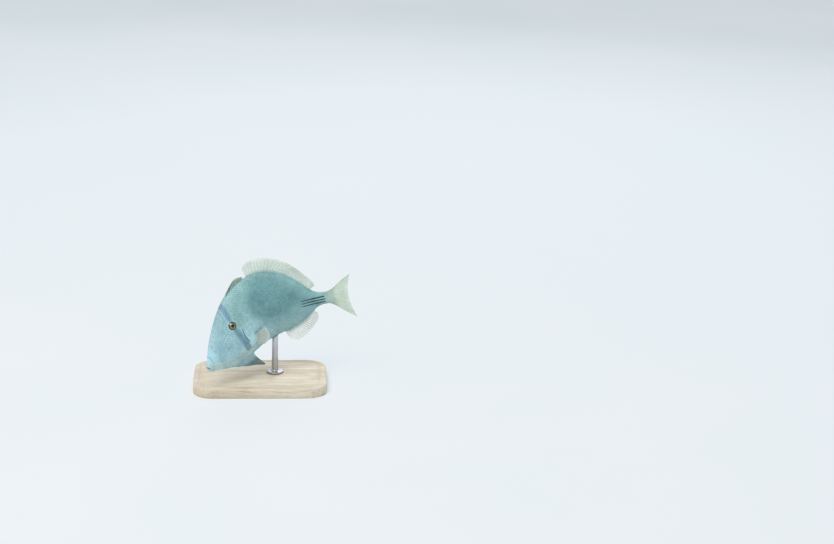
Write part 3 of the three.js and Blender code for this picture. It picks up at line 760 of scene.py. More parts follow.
def fin_sheet(name, node, point, rays, per_ray, rows, ray_half, web_half,
              fork=0.35, finish=None):
    """A closed sheet from its root, v = 0, to its edge, v = 1, with its rays standing proud on both faces.
    point(u, v) gives its middle surface, and its thickness goes along that surface's normal."""
    u = np.linspace(0, 1, (rays - 1) * per_ray + 1)
    v = crowded(rows, [[0, 1], [0.8, 1], [1, 1.8]])
    v, u = np.meshgrid(v, u, indexing="ij")
    reach = v * (1 - 0.022 * (1 - ray_ridge(u, np.ones_like(v), rays, fork)) * smooth(0.8, 1, v))
    step = 1e-3
    along = point(u + step, reach) - point(u - step, reach)
    out = point(u, reach + step) - point(u, reach - step)
    ridge = ray_ridge(u, v, rays, fork)
    half = mix(web_half(v, u), ray_half(v, u), ridge)
    joints = 1 - 0.16 * ridge * smooth(0.3, 0.5, v) * (np.sin(2 * np.pi * v * 17) > 0.75)
    middle, offset = point(u, reach), unit(np.cross(along, out)) * (half * joints)[..., None]
    loop = np.concatenate([middle + offset, (middle - offset)[:, ::-1]], axis=1)
    marks = {"ray": ridge, "reach": v}
    marks = {key: np.concatenate([value, value[:, ::-1]], axis=1) for key, value in marks.items()}
    piece(name, posed(loop.reshape(-1, 3)), sheet_quads(*u.shape), finish or name, [node], marks)


def edge_fin(name, node, rays, outline, out, start, end, leans, sway, sway_turns, lengths, sunk=2.0):
    """A fin along the back or belly. A ray stands on the outline and leans towards the tail, and the fin
    sways sideways with the square of the way out."""
    def point(u, v):
        place = mix(start, end, u)
        slope = (outline(place + 0.5) - outline(place - 0.5)) * out
        lean = np.arctan(-slope) + np.radians(mix(leans[0], leans[1], u))
        length = v * (lengths(u) * PERCENT + sunk) - sunk
        wave = sway * v * v * np.sin(2 * np.pi * sway_turns * u + 0.6)
        height = outline(place) * PERCENT + out * length * np.cos(lean)
        return np.stack([place * PERCENT + length * np.sin(lean), wave, height], axis=-1)

    fin_sheet(name, node, point, rays, 14, 34, tapered(0.8, 0.3), tapered(0.4, 0.14))


def soft_dorsal_fin():
    lengths = profile([
        [0, 6.6], [0.05, 8.6], [0.12, 9.6], [0.3, 9.8], [0.55, 9.8], [0.75, 8], [0.9, 6.4], [1, 4.4],
    ])
    edge_fin("soft_dorsal_web", "soft_dorsal_fin", 25, BACK, 1, 55, 88.5, [-6, 24], 2.4, 1.1, lengths)


def anal_fin():
    lengths = profile([
        [0, 3.6], [0.06, 7], [0.15, 9.4], [0.35, 10.6], [0.6, 9.6], [0.8, 7.4], [0.93, 4.8], [1, 2.4],
    ])
    edge_fin("anal_web", "anal_fin", 22, BELLY, -1, 62.5, 87.5, [8, 20], -2.4, 1, lengths)


def tail_fin():
    """The tail fin: its span flares from the root to its corners, and its edge is hollow between them."""
    upper_span, lower_span, tip_place, tip_slant, hollow = 16.6, 19, 117, 1.2, 3.6
    root_place = STEM_END - 1.5
    flare = profile([[0, 0], [0.2, 0.16], [0.6, 0.62], [1, 1]])

    def point(u, v):
        spread = 2 * u - 1
        end = tip_place + tip_slant * spread - hollow * (1 - spread * spread)
        place = mix(root_place, end, v)
        span = np.where(spread > 0, upper_span, lower_span)
        flared = flare(np.maximum(place - STEM_END, 0) / (end - STEM_END))
        height = spread * mix(TAIL_ROOT_HALF, span, flared) + TAIL_ROOT_HEIGHT
        curl = 2.5 * v * v * np.sin(2.2 * u + 0.4)
        return np.stack([place * PERCENT, -curl, height * PERCENT], axis=-1)

    fin_sheet("tail_web", "caudal_fin", point, TAIL_RAYS, 22, 46,
              tapered(0.8, 0.28, 0.8), tapered(0.4, 0.14, 0.9), fork=0.25)


def pectoral_fin(side):
    """A side fin: a rounded fan that stands off the flank."""
    lengths = profile([[0, 10.5], [0.25, 12], [0.55, 11], [0.8, 8.6], [1, 6]])
    sunk = 2

    def point(u, v):
        place, height = 36.4 - 0.8 * u, mix(-1, -6, u)
        root = flank(place, angle_at(place, height, side))
        fall, off = np.radians(mix(-14, 52, u)), np.radians(mix(38, 30, v))
        away = [np.cos(fall) * np.cos(off), side * np.sin(off), -np.sin(fall) * np.cos(off)]
        length = v * (lengths(u) * PERCENT + sunk) - sunk
        return root + np.stack(away, axis=-1) * length[..., None]

    word = SIDE_WORDS[side]
    fin_sheet(f"pectoral_web_{word}", f"pectoral_fin_{word}", point, 13, 16, 34,
              tapered(0.65, 0.24), tapered(0.36, 0.12), finish="pectoral_web")


def spiny_dorsal_fin():
    """The first back fin, half folded: a web that dips between stout spines, the first of them the longest.
    SPINES has the length of each in percent and half its thickness in millimetres."""
    last = len(SPINES) - 1
    lengths, halves = (profile([[i / last, spine[k]] for i, spine in enumerate(SPINES)]) for k in (0, 1))

    def point(u, v):
        place = mix(SPINY_START, SPINY_END, u)
        reach = lengths(u) * (1 - SPINY_DIP * np.sin(np.pi * u * last) ** 2) * PERCENT
        length = v * (reach + SPINY_SUNK) - SPINY_SUNK
        height = BACK(place) * PERCENT + length * math.cos(SPINY_FOLD)
        return np.stack([place * PERCENT + length * math.sin(SPINY_FOLD), 0 * u, height], axis=-1)

    fin_sheet("spiny_dorsal_web", "spiny_dorsal_fin", point, len(SPINES), 40, 40,
              lambda v, u: halves(u) * mix(1, 0.3, v), tapered(0.22, 0.22), fork=1.05)


# Spines of the tail stem.
SPINES_PER_ROW = 19


def stem_spines():
    """Rows of small hooked spines on both sides of the tail stem: cones that lean forwards and bend as they
    rise."""
    around, rings = 8, 6
    share, row = np.meshgrid(np.linspace(0, 1, SPINES_PER_ROW), np.arange(len(SPINE_ROWS)), indexing="ij")
    place = mix(SPINE_ROW_START, SPINE_ROW_END, share) + 0.4 * (row % 2)
    height = np.array(SPINE_ROWS)[row]
    chance = np.random.default_rng(11).random(place.shape)
    length = mix(0.9, 1.9, smooth(82, 91, place)) * mix(0.85, 1.15, chance)
    place, height, length = (np.tile(value.ravel(), 2) for value in (place, height, length))
    angle = angle_at(place, height, np.repeat([RIGHT, LEFT], len(place) // 2))
    root, out = flank(place, angle), outward(place, angle)
    forwards = unit(np.array([-1.0, 0, 0]) + out * out[:, :1])
    across = np.cross(out, forwards)
    length = length[:, None, None]
    rise = np.linspace(0, 1, rings)[None, :, None]
    turn = np.linspace(0, 2 * np.pi, around, endpoint=False)[None, None, :]
    radius = 0.4 * (length / 1.7) * (1 - rise) ** 0.7 + 0.02
    up = rise * length - 0.2 + 0 * turn
    lean = 0.75 * length * rise ** 1.6 + radius * np.cos(turn)
    sideways = radius * np.sin(turn)
    points = root[:, None, None] + sum(
        way[:, None, None] * off[..., None] for way, off in ((out, up), (forwards, lean), (across, sideways))
    )
    body, one = capped(points)
    marks = {"reach": np.tile(np.append(np.repeat(rise.ravel(), around), [0, 1]), len(place))}
    piece("stem_spines", posed(body.reshape(-1, 3)), copied(one, body), "spine", (), marks)


# Eyes.
PUPIL_HALF, CORNEA_RISE, CORNEA_REACH = 2.2, 0.35, 3.2


def eye(side):
    """An eyeball, turned round the way it looks. Its front swells a little into the cornea, and ring gives
    the distance from its middle, in millimetres, which pupil and iris follow."""
    middle, looks = eye_seat(side)
    ahead = unit(np.array([-1.0, 0, 0]) + looks * looks[0])
    above = np.cross(looks, ahead)
    lean = np.radians(crowded(58, [[0, 3], [45, 3], [60, 1], [180, 0.6]]))[1:-1]
    turn = np.linspace(0, 2 * np.pi, 72, endpoint=False)
    lean, turn = np.meshgrid(lean, turn, indexing="ij")
    off = EYE_RADIUS * np.sin(lean)
    radius = EYE_RADIUS + CORNEA_RISE * hump(off, CORNEA_REACH) * (lean < np.pi / 2)
    rings = middle + radius[..., None] * (
        np.cos(lean)[..., None] * looks + (np.sin(lean) * np.cos(turn))[..., None] * ahead
        + (np.sin(lean) * np.sin(turn))[..., None] * above
    )
    poles = np.stack([middle + looks * (EYE_RADIUS + CORNEA_RISE), middle - looks * EYE_RADIUS])
    points, quads = capped(rings, poles)
    ring = np.where(lean < np.pi / 2, off, 2 * EYE_RADIUS - off)
    marks = {
        "ring": np.append(ring.ravel(), [0, 2 * EYE_RADIUS]),
        "spoke_x": np.append(np.cos(turn).ravel(), [0, 0]),
        "spoke_y": np.append(np.sin(turn).ravel(), [0, 0]),
    }
    word = SIDE_WORDS[side]
    piece(f"eyeball_{word}", posed(points), quads, "eye", [f"eye_{word}"], marks)


# Teeth.
TEETH_PER_JAW = 8
TOOTH_HALF, TOOTH_THICK_HALF, TOOTH_LENGTH, JAW_BOW = 0.66, 0.5, 2.35, 3.4


def teeth(jaw):
    """One jaw's teeth: chisels set on a bow inside the lips. Each is a rounded block that narrows to a blunt,
    slightly hollow edge, and they shrink from the middle to the corners. jaw is 1 above and -1 below."""
    seat = (np.arange(TEETH_PER_JAW) + 0.5) / TEETH_PER_JAW * 2 - 1
    size = 1 - 0.5 * np.abs(seat) ** 1.3
    half = TOOTH_HALF * size
    bow = (np.cumsum(2 * half) - half - half.sum()) / JAW_BOW
    long_way = np.linspace(0, 1, 9)[:, None]
    turn = np.linspace(0, 2 * np.pi, 16, endpoint=False)[None]
    square = (np.abs(np.cos(turn)) ** 4 + np.abs(np.sin(turn)) ** 4) ** -0.25
    narrow = np.sqrt(np.maximum(1 - long_way ** 14, 0)) * mix(1.04, 0.76, long_way ** 2)
    wide = 1.05 * TOOTH_HALF * square * np.cos(turn) * narrow
    thick = TOOTH_THICK_HALF * square * np.sin(turn) * narrow * mix(1, 0.4, long_way)
    down = long_way * TOOTH_LENGTH - 0.14 * long_way ** 4 * (1 - (wide / TOOTH_HALF) ** 2) + 0 * turn
    axis_along = np.stack([np.sin(bow), np.cos(bow), 0 * bow], axis=-1)[:, None, None]
    axis_in = np.stack([np.cos(bow), -np.sin(bow), 0 * bow], axis=-1)[:, None, None]
    root = np.stack([4.4 - 3 * np.cos(bow), JAW_BOW * np.sin(bow), np.full_like(bow, jaw * 2.5)], axis=-1)
    off = axis_along * wide[..., None] + axis_in * thick[..., None] - np.array([0, 0, jaw]) * down[..., None]
    body, one = capped(root[:, None, None] + off * size[:, None, None, None])
    marks = {"reach": np.tile(np.append(np.repeat(long_way.ravel(), turn.size), [0, 1]), len(seat))}
    word = "upper" if jaw > 0 else "lower"
    piece(f"tooth_row_{word}", posed(body.reshape(-1, 3)), copied(one, body), "tooth",
          [f"teeth_{word}"], marks)


# Stand.
BASE_CORNER, BASE_EDGE, BASE_GROOVE = 24, 2.6, 8.0
ROD_PLACE, ROD_RADIUS, FOOT_RADIUS, FOOT_HEIGHT = 54, 4, 10, 2.5
FOOT_EDGE, FOOT_FILLET = 0.7, 1.6
ROD_GAP = 0.25


def rounded_oblong(half_x, half_y, corner, height, count=14):
    """Points round a rectangle with round corners: count to each quarter turn."""
    turn = np.linspace(0, np.pi / 2, count)
    turns = np.concatenate([turn + quarter * np.pi / 2 for quarter in range(4)])
    signs = np.repeat([[1, 1], [-1, 1], [-1, -1], [1, -1]], count, axis=0)
    middle = signs * [half_x - corner, half_y - corner]
    flat = middle + corner * np.stack([np.cos(turns), np.sin(turns)], axis=-1)
    return np.column_stack([flat, np.full(len(flat), height)])


def base_plate():
    """The wooden base: a rounded oblong whose upper edge is a quarter round, with a fine groove inside it."""
    half_x, half_y, top = np.array(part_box("stand_base")[1]) / MM
    turn = np.linspace(0, np.pi / 2, 9)
    edge = [[BASE_EDGE * (1 - math.cos(a)), top - BASE_EDGE + BASE_EDGE * math.sin(a)] for a in turn]
    groove = [[BASE_GROOVE + off, top - deep]
              for off, deep in ((-0.9, 0), (-0.45, 0.5), (0, 0.75), (0.45, 0.5), (0.9, 0))]
    section = [[1.0, 0.0], [0.3, 0.2], [0.0, 0.9], *edge, *groove, [16, top], [23, top]]
    points, quads = capped(np.stack([
        rounded_oblong(half_x - inset, half_y - inset, BASE_CORNER - inset, height)
        for inset, height in section
    ]))
    piece("base_plate", points * MM, quads, "wood", ["stand_base"])


def turned(outline, around=48):
    """Rings of a shape turned round the z axis: outline has [radius, height] from bottom to top."""
    radius, height = np.array(outline, float).T
    turn = np.linspace(0, 2 * np.pi, around, endpoint=False)
    across = [np.outer(radius, np.cos(turn)), np.outer(radius, np.sin(turn))]
    return np.stack([*across, np.outer(height, np.ones(around))], axis=-1)


def rod():
    """The steel rod, with a turned foot and a fillet above it, cut slantwise where it meets the belly."""
    top = posed(np.array([ROD_PLACE * PERCENT, 0, float(BELLY(ROD_PLACE)) * PERCENT])) / MM
    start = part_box("stand_base")[1][2] / MM
    foot_top = start + FOOT_HEIGHT
    round_edge = [[FOOT_RADIUS - FOOT_EDGE * (1 - math.cos(a)), foot_top - FOOT_EDGE * (1 - math.sin(a))]
                  for a in np.linspace(0, np.pi / 2, 6)]
    fillet = [[ROD_RADIUS + FOOT_FILLET * (1 - math.sin(a)), foot_top + FOOT_FILLET * (1 - math.cos(a))]
              for a in np.linspace(0, np.pi / 2, 7)]
    shaft = [[ROD_RADIUS, z] for z in np.linspace(start + 8, top[2] + 4, 24)]
    points, quads = capped(turned([[FOOT_RADIUS, start], *round_edge, *fillet, *shaft]))
    points[:, :2] += top[:2]
    piece("rod", cut_at_belly(points, start + 6) * MM, quads, "steel", ["stand_rod"])


def cut_at_belly(points, start):
    """Lowers the rod's upper points to just under the skin. Its height above each of them is the mean of the
    nearest points of a grid on the belly, by their closeness."""
    places, angles = np.linspace(48, 60, 90), np.radians(np.linspace(140, 220, 90))
    under = (posed(flank(*np.meshgrid(places, angles, indexing="ij"))) / MM).reshape(-1, 3)
    away = np.hypot(points[:, None, 0] - under[None, :, 0], points[:, None, 1] - under[None, :, 1])
    near = np.argsort(away, axis=1)[:, :6]
    weight = 1 / (np.take_along_axis(away, near, axis=1) + 0.05)
    limit = (under[near, 2] * weight).sum(axis=1) / weight.sum(axis=1) - ROD_GAP
    share = (points[:, 2] - start) / (points[:, 2].max() - start)
    cut = points.copy()
    cut[:, 2] = np.where(share > 0, start + share * (limit - start), points[:, 2])
    return cut


# Materials.
MATERIALS = {}


class Paint:
    """A material or node group that is being built: it places nodes and joins them."""

    def __init__(self, tree):
        self.tree = tree

    def node(self, kind, inputs=None, **settings):
        made = self.tree.nodes.new(kind)
        for key, value in settings.items():
            setattr(made, key, value)
        for key, value in (inputs or {}).items():
            self.join(value, made.inputs[key])
        return made

    def join(self, value, socket):
        if isinstance(value, bpy.types.NodeSocket):
            self.tree.links.new(value, socket)
        else:
            socket.default_value = value

    def attribute(self, name):
        return self.node("ShaderNodeAttribute", attribute_name=name).outputs["Fac"]

    def maths(self, operation, a, b):
        return self.node("ShaderNodeMath", {0: a, 1: b}, operation=operation).outputs[0]

    def times(self, a, b):
        return self.maths("MULTIPLY", a, b)

    def ramp(self, value, low, high, at_low=0.0, at_high=1.0):
        ends = {"From Min": low, "From Max": high, "To Min": at_low, "To Max": at_high}
        made = self.node("ShaderNodeMapRange", {"Value": value, **ends}, interpolation_type="SMOOTHSTEP")
        return made.outputs["Result"]

    def mixed(self, share, a, b, kind="MIX"):
        made = self.node("ShaderNodeMix", {0: share, 6: a, 7: b}, data_type="RGBA", blend_type=kind)
        return made.outputs[2]

    def noise(self, scale, detail=3.0, stretch=(1, 1, 1), rough=0.5):
        place = self.node("ShaderNodeTexCoord").outputs["Object"]
        place = self.node("ShaderNodeMapping", {"Vector": place, "Scale": stretch}).outputs[0]
        sizes = {"Scale": scale, "Detail": detail, "Roughness": rough}
        return self.node("ShaderNodeTexNoise", {"Vector": place, **sizes}).outputs["Fac"]

    def cells(self, scale):
        place = self.node("ShaderNodeTexCoord").outputs["Object"]
        return self.node("ShaderNodeTexVoronoi", {"Vector": place, "Scale": scale}).outputs["Distance"]

    def bump(self, height, distance, strength):
        inputs = {"Height": height, "Distance": distance, "Strength": strength}
        return self.node("ShaderNodeBump", inputs).outputs[0]


def colour(red, green, blue):
    """A linear colour from screen values."""
    return (*[((c + 0.055) / 1.055) ** 2.4 if c > 0.04045 else c / 12.92 for c in (red, green, blue)], 1.0)


COLOURS = {key: colour(*values) for key, values in {
    "back": (0.58, 0.73, 0.73),
    "belly": (0.71, 0.85, 0.87),
    "rear_belly": (0.61, 0.75, 0.76),
    "face": (0.66, 0.80, 0.83),
    "cheek": (0.70, 0.83, 0.86),
    "cloud": (0.53, 0.68, 0.73),
    "patch": (0.47, 0.63, 0.64),
    "bar": (0.59, 0.73, 0.75),
    "band": (0.45, 0.58, 0.65),
    "line": (0.38, 0.58, 0.72),
    "stripe": (0.78, 0.75, 0.56),
    "lips": (0.67, 0.76, 0.76),
    "flap": (0.50, 0.55, 0.54),
    "spine_row": (0.21, 0.26, 0.29),
    # Painted shade for creases, plate rims and the inside of the mouth.
    "painted_crease_shade": (0.18, 0.25, 0.28),
    "tail_root": (0.67, 0.75, 0.69),
    "scale_shade": (0.72, 0.76, 0.74),
    "skin_mottle": (0.68, 0.74, 0.76),
    "fin_mottle": (0.72, 0.72, 0.66),
    "spine_root": (0.3, 0.27, 0.21),
    "spine_tip": (0.07, 0.07, 0.07),
    "iris_dark": (0.27, 0.22, 0.14),
    "iris_light": (0.52, 0.43, 0.26),
    "iris_rim": (0.13, 0.17, 0.19),
    "gold": (0.74, 0.62, 0.36),
    "pupil": (0.012, 0.014, 0.02),
    "tooth_root": (0.72, 0.64, 0.46),
    "tooth_tip": (0.9, 0.87, 0.78),
    "tooth_stain": (0.6, 0.5, 0.34),
    "wood_dark": (0.77, 0.72, 0.64),
    "wood_light": (0.86, 0.82, 0.75),
    "grain": (0.68, 0.62, 0.53),
    "pore": (0.56, 0.50, 0.42),
    "steel_dark": (0.69, 0.69, 0.70),
    "steel_light": (0.76, 0.76, 0.76),
    "floor_dark": (0.90, 0.915, 0.925),
    "floor_light": (0.915, 0.925, 0.935),
}.items()}

# Each marking's attribute, the distances at which it is full and gone, how far its edge is ragged, its
# strength and its colour, in the order in which they are laid over the skin.
SKIN_MARKINGS = [
    ["cloud", 1.0, 9.0, 0.0, 0.45, "cloud"],
    ["patch", -15.0, 8.0, 1.2, 1.0, "patch"],
    ["bars", -1.6, 1.2, 0.4, 0.45, "bar"],
    ["below", 10.0, 0.0, 0.0, 0.9, "flap"],
    ["band", -1.2, 1.2, 0.3, 0.85, "band"],
    ["lines", 0.25, 0.7, 0.1, 0.6, "line"],
    ["stripe", 0.5, 1.5, 0.2, 0.7, "stripe"],
    ["lips", -0.6, 1.0, 0.3, 1.0, "lips"],
    ["spine_rows", 0.3, 0.9, 0.1, 0.85, "spine_row"],
]

# Each fin's colours of web, rays and edge, the body colour at its root and how far out this reaches, and
# how clear its web is.
FIN_FINISHES = {
    "soft_dorsal_web": [(0.83, 0.87, 0.84), (0.76, 0.80, 0.74), (0.87, 0.89, 0.87), "back", 0.3, 0.35],
    "tail_web": [(0.83, 0.88, 0.83), (0.74, 0.79, 0.71), (0.84, 0.88, 0.84), "tail_root", 0.5, 0.3],
    "anal_web": [(0.88, 0.90, 0.89), (0.82, 0.83, 0.78), (0.90, 0.92, 0.91), "rear_belly", 0.3, 0.7],
    "pectoral_web": [(0.80, 0.84, 0.82), (0.70, 0.73, 0.67), (0.82, 0.85, 0.83), "cheek", 0.3, 0.66],
    "spiny_dorsal_web": [(0.60, 0.67, 0.63), (0.50, 0.57, 0.55), (0.66, 0.72, 0.67), "back", 0.3, 0.15],
}


def group(name, inputs, outputs):
    """An empty node group with named inputs and outputs, its paint, input sockets and output node's."""
    tree = bpy.data.node_groups.new(name, "ShaderNodeTree")
    for way, sockets in (("INPUT", inputs), ("OUTPUT", outputs)):
        for key, kind in sockets.items():
            tree.interface.new_socket(key, in_out=way, socket_type=f"NodeSocket{kind}")
    paint = Paint(tree)
    return tree, paint, paint.node("NodeGroupInput").outputs, paint.node("NodeGroupOutput").inputs


def material(name, **constants):
    """A new material's paint and its Principled shader's sockets, with constants set on them."""
    made = bpy.data.materials.new(name)
    made.use_nodes = True
    MATERIALS[name] = made
    shader = made.node_tree.nodes["Principled BSDF"]
    for key, value in constants.items():
        shader.inputs[key.replace("_", " ").title().replace("Ior", "IOR")].default_value = value
    return Paint(made.node_tree), shader.inputs


def speckle_group():
    """Fine mottling that several finishes share: a broad and a fine noise in one mask round 0.5."""
    tree, paint, _, put = group("speckle", {}, {"Mask": "Float"})
    broad, fine = paint.times(paint.noise(60, 3), 0.6), paint.times(paint.noise(700, 2), 0.4)
    paint.join(paint.maths("ADD", broad, fine), put["Mask"])
    return tree


def fin_group():
    """The finish of a web and its rays: its colour, an alpha that is lower on the web, its roughness and a
    height for its bump."""
    tree, paint, given, put = group(
        "fin_finish",
        {"Web": "Color", "Ray": "Color", "Edge": "Color", "Root": "Color", "Root Reach": "Float",
         "Clear": "Float"},
        {"Color": "Color", "Alpha": "Float", "Height": "Float", "Roughness": "Float"},
    )
    ray, reach = paint.attribute("ray"), paint.attribute("reach")
    speckle = paint.node("ShaderNodeGroup", node_tree=SPECKLE).outputs["Mask"]
    ray_mask = paint.ramp(ray, 0.15, 0.75)
    shade = paint.mixed(ray_mask, given["Web"], given["Ray"])
    shade = paint.mixed(paint.ramp(reach, 0.72, 1.0), shade, given["Edge"])
    from_body = paint.maths("DIVIDE", reach, given["Root Reach"])
    shade = paint.mixed(paint.ramp(from_body, 0.45, 1.0, 0.8, 0.0), shade, given["Root"])
    mottle = paint.ramp(speckle, 0.4, 0.62, 0.0, 0.3)
    paint.join(paint.mixed(mottle, shade, COLOURS["fin_mottle"], "MULTIPLY"), put["Color"])
    solid = paint.maths("MAXIMUM", ray_mask, paint.ramp(reach, 0.05, 0.45, 0.95, 0.0))
    clear = paint.times(given["Clear"], paint.maths("SUBTRACT", 1.0, solid))
    paint.join(paint.maths("SUBTRACT", 1.0, clear), put["Alpha"])
    paint.join(speckle, put["Height"])
    paint.join(paint.ramp(speckle, 0.3, 0.7, 0.32, 0.5), put["Roughness"])
    return tree


def ground_colour(paint, upness, place):
    """The skin under its markings: a darker back over a pale belly, with the face, cheek and rear belly."""
    shade = paint.mixed(paint.ramp(upness, -0.55, 0.75), COLOURS["belly"], COLOURS["back"])
    shade = paint.mixed(paint.ramp(place, 36, 8), shade, COLOURS["face"])
    cheek = paint.times(paint.ramp(place, 40, 14), paint.ramp(upness, 0.15, -0.75))
    shade = paint.mixed(cheek, shade, COLOURS["cheek"])
    rear_belly = paint.times(paint.ramp(place, 42, 60), paint.ramp(upness, 0.1, -0.5))
    return paint.mixed(rear_belly, shade, COLOURS["rear_belly"])


def skin_material():
    """Teal-grey, paler below, with the markings laid over it by their distances, each edge ragged by the
    tint of its scale."""
    paint, shader = material("skin", specular_ior_level=0.45, coat_weight=0.25, coat_roughness=0.22)
    tint, place = paint.attribute("scale_tint"), paint.attribute("place")
    speckle = paint.node("ShaderNodeGroup", node_tree=SPECKLE).outputs["Mask"]
    by_scale = paint.times(paint.maths("SUBTRACT", tint, 0.5), 1.8)
    ragged = paint.maths("ADD", by_scale, paint.times(paint.maths("SUBTRACT", speckle, 0.5), 6.0))
    shade = ground_colour(paint, paint.attribute("upness"), place)
    for name, full, gone, rough, strength, tone in SKIN_MARKINGS:
        off = paint.maths("ADD", paint.attribute(name), paint.times(ragged, rough))
        shade = paint.mixed(paint.ramp(off, full, gone, strength, 0.0), shade, COLOURS[tone])
    shade = paint.mixed(paint.ramp(tint, 0.0, 1.0, 0.0, 0.3), shade, COLOURS["scale_shade"], "MULTIPLY")
    mottle = paint.ramp(speckle, 0.42, 0.66, 0.0, 0.4)
    shade = paint.mixed(mottle, shade, COLOURS["skin_mottle"], "MULTIPLY")
    # Painted shade in creases, along the scale plates' rims and inside the mouth.
    shade = paint.mixed(paint.times(paint.attribute("painted_crease_shade"), 0.6), shade, COLOURS["painted_crease_shade"])
    shade = paint.mixed(paint.ramp(place, 96, 101, 0.0, 0.85), shade, COLOURS["tail_root"])
    paint.join(shade, shader["Base Color"])
    paint.join(paint.ramp(speckle, 0.3, 0.7, 0.36, 0.54), shader["Roughness"])
    grains = paint.maths("SUBTRACT", 1.0, paint.cells(1700))
    height = paint.maths("ADD", grains, paint.times(paint.noise(3600, 2), 0.35))
    paint.join(paint.bump(height, 0.00016, 0.8), shader["Normal"])


def fin_material(name, web, ray, edge, root, root_reach, clear):
    paint, shader = material(name, specular_ior_level=0.4, coat_weight=0.15, coat_roughness=0.25)
    given = {"Web": colour(*web), "Ray": colour(*ray), "Edge": colour(*edge), "Root": COLOURS[root],
             "Root Reach": root_reach, "Clear": clear}
    finish = paint.node("ShaderNodeGroup", node_tree=FIN_FINISH)
    for key, value in given.items():
        paint.join(value, finish.inputs[key])
    paint.join(finish.outputs["Color"], shader["Base Color"])
    paint.join(finish.outputs["Alpha"], shader["Alpha"])
    paint.join(finish.outputs["Roughness"], shader["Roughness"])
    paint.join(paint.bump(finish.outputs["Height"], 0.0001, 0.5), shader["Normal"])


def spine_material():
    """Small horny spines: brown at the root and dark at the tip."""
    paint, shader = material("spine", roughness=0.4, coat_weight=0.2)
    rise = paint.ramp(paint.attribute("reach"), 0.0, 0.6)
    paint.join(paint.mixed(rise, COLOURS["spine_root"], COLOURS["spine_tip"]), shader["Base Color"])
    paint.join(paint.bump(paint.noise(3000), 0.00005, 1.0), shader["Normal"])


def eye_material():
    """A dark pupil in a brassy iris with fine spokes, a dark rim, and wet gloss over all."""
    paint, shader = material("eye", roughness=0.12, coat_weight=1.0, coat_roughness=0.03,
                             specular_ior_level=0.6)
    ring = paint.attribute("ring")
    spokes = {0: paint.attribute("spoke_x"), 1: paint.attribute("spoke_y")}
    around = paint.node("ShaderNodeCombineXYZ", spokes).outputs[0]
    streaks = paint.node("ShaderNodeTexNoise", {"Vector": around, "Scale": 9.0, "Detail": 4.0}).outputs["Fac"]
    iris = paint.mixed(paint.ramp(streaks, 0.35, 0.65), COLOURS["iris_dark"], COLOURS["iris_light"])
    iris = paint.mixed(paint.ramp(ring, 2.9, 4.2), iris, COLOURS["iris_rim"])
    gold = paint.times(paint.ramp(ring, PUPIL_HALF, PUPIL_HALF + 0.15),
                       paint.ramp(ring, PUPIL_HALF + 0.5, PUPIL_HALF + 0.25))
    iris = paint.mixed(gold, iris, COLOURS["gold"])
    pupil = paint.ramp(ring, PUPIL_HALF - 0.1, PUPIL_HALF + 0.06)
    paint.join(paint.mixed(pupil, COLOURS["pupil"], iris), shader["Base Color"])


def tooth_material():
    paint, shader = material("tooth", roughness=0.22, coat_weight=0.5, coat_roughness=0.08)
    down = paint.ramp(paint.attribute("reach"), 0.0, 0.8)
    shade = paint.mixed(down, COLOURS["tooth_root"], COLOURS["tooth_tip"])
    shade = paint.mixed(paint.ramp(paint.noise(900), 0.4, 0.7, 0.0, 0.3), shade, COLOURS["tooth_stain"])
    paint.join(shade, shader["Base Color"])
    paint.join(paint.bump(paint.noise(1800, stretch=(1, 1, 0.2)), 0.00005, 1.0), shader["Normal"])


def wood_material():
    """Bleached oak: long grain lines, broad bands of tone and short open pores, all along x."""
    paint, shader = material("wood", specular_ior_level=0.3)
    bands = paint.noise(22, 4, (0.16, 1, 1), 0.6)
    grain = paint.noise(640, 5, (0.045, 1, 1), 0.65)
    pores = paint.ramp(paint.noise(1700, 2, (0.04, 1, 1)), 0.6, 0.68)
    shade = paint.mixed(paint.ramp(bands, 0.3, 0.7), COLOURS["wood_dark"], COLOURS["wood_light"])
    shade = paint.mixed(paint.ramp(grain, 0.42, 0.62, 0.0, 0.55), shade, COLOURS["grain"])
    shade = paint.mixed(paint.times(pores, 0.5), shade, COLOURS["pore"])
    paint.join(shade, shader["Base Color"])
    paint.join(paint.ramp(grain, 0.3, 0.7, 0.5, 0.66), shader["Roughness"])
    height = paint.maths("SUBTRACT", paint.times(grain, 0.5), pores)
    paint.join(paint.bump(height, 0.0002, 0.6), shader["Normal"])


def steel_material():
    """Brushed steel: fine rings round the rod, with a little smudging in its gloss."""
    paint, shader = material("steel", metallic=1.0)
    rings = paint.noise(6000, 2, (0.01, 0.01, 1), 0.6)
    shade = paint.mixed(paint.ramp(rings, 0.35, 0.65), COLOURS["steel_dark"], COLOURS["steel_light"])
    paint.join(shade, shader["Base Color"])
    smudge = paint.ramp(paint.noise(60, 3), 0.4, 0.7, 0.0, 0.1)
    paint.join(paint.maths("ADD", paint.ramp(rings, 0.3, 0.7, 0.22, 0.32), smudge), shader["Roughness"])
    paint.join(paint.bump(rings, 0.000004, 0.4), shader["Normal"])


def floor_material():
    paint, shader = material("floor", specular_ior_level=0.15)
    clouds = paint.ramp(paint.noise(3), 0.3, 0.7)
    paint.join(paint.mixed(clouds, COLOURS["floor_dark"], COLOURS["floor_light"]), shader["Base Color"])
    paint.join(paint.ramp(paint.noise(40), 0.3, 0.7, 0.75, 0.85), shader["Roughness"])


SPECKLE = speckle_group()
FIN_FINISH = fin_group()
skin_material()
spine_material()
eye_material()
tooth_material()
wood_material()
steel_material()
floor_material()
for fin, finish_values in FIN_FINISHES.items():
    fin_material(fin, *finish_values)


# The model.
skin()
for model_side, side_word in SIDE_WORDS.items():
    scale_coat(f"scales_front_{side_word}", model_side, 0, 48)
    scale_coat(f"scales_rear_{side_word}", model_side, 48, 102)
    pectoral_fin(model_side)
    eye(model_side)
stem_spines()
spiny_dorsal_fin()
soft_dorsal_fin()
anal_fin()
tail_fin()
teeth(1)
teeth(-1)
base_plate()
rod()


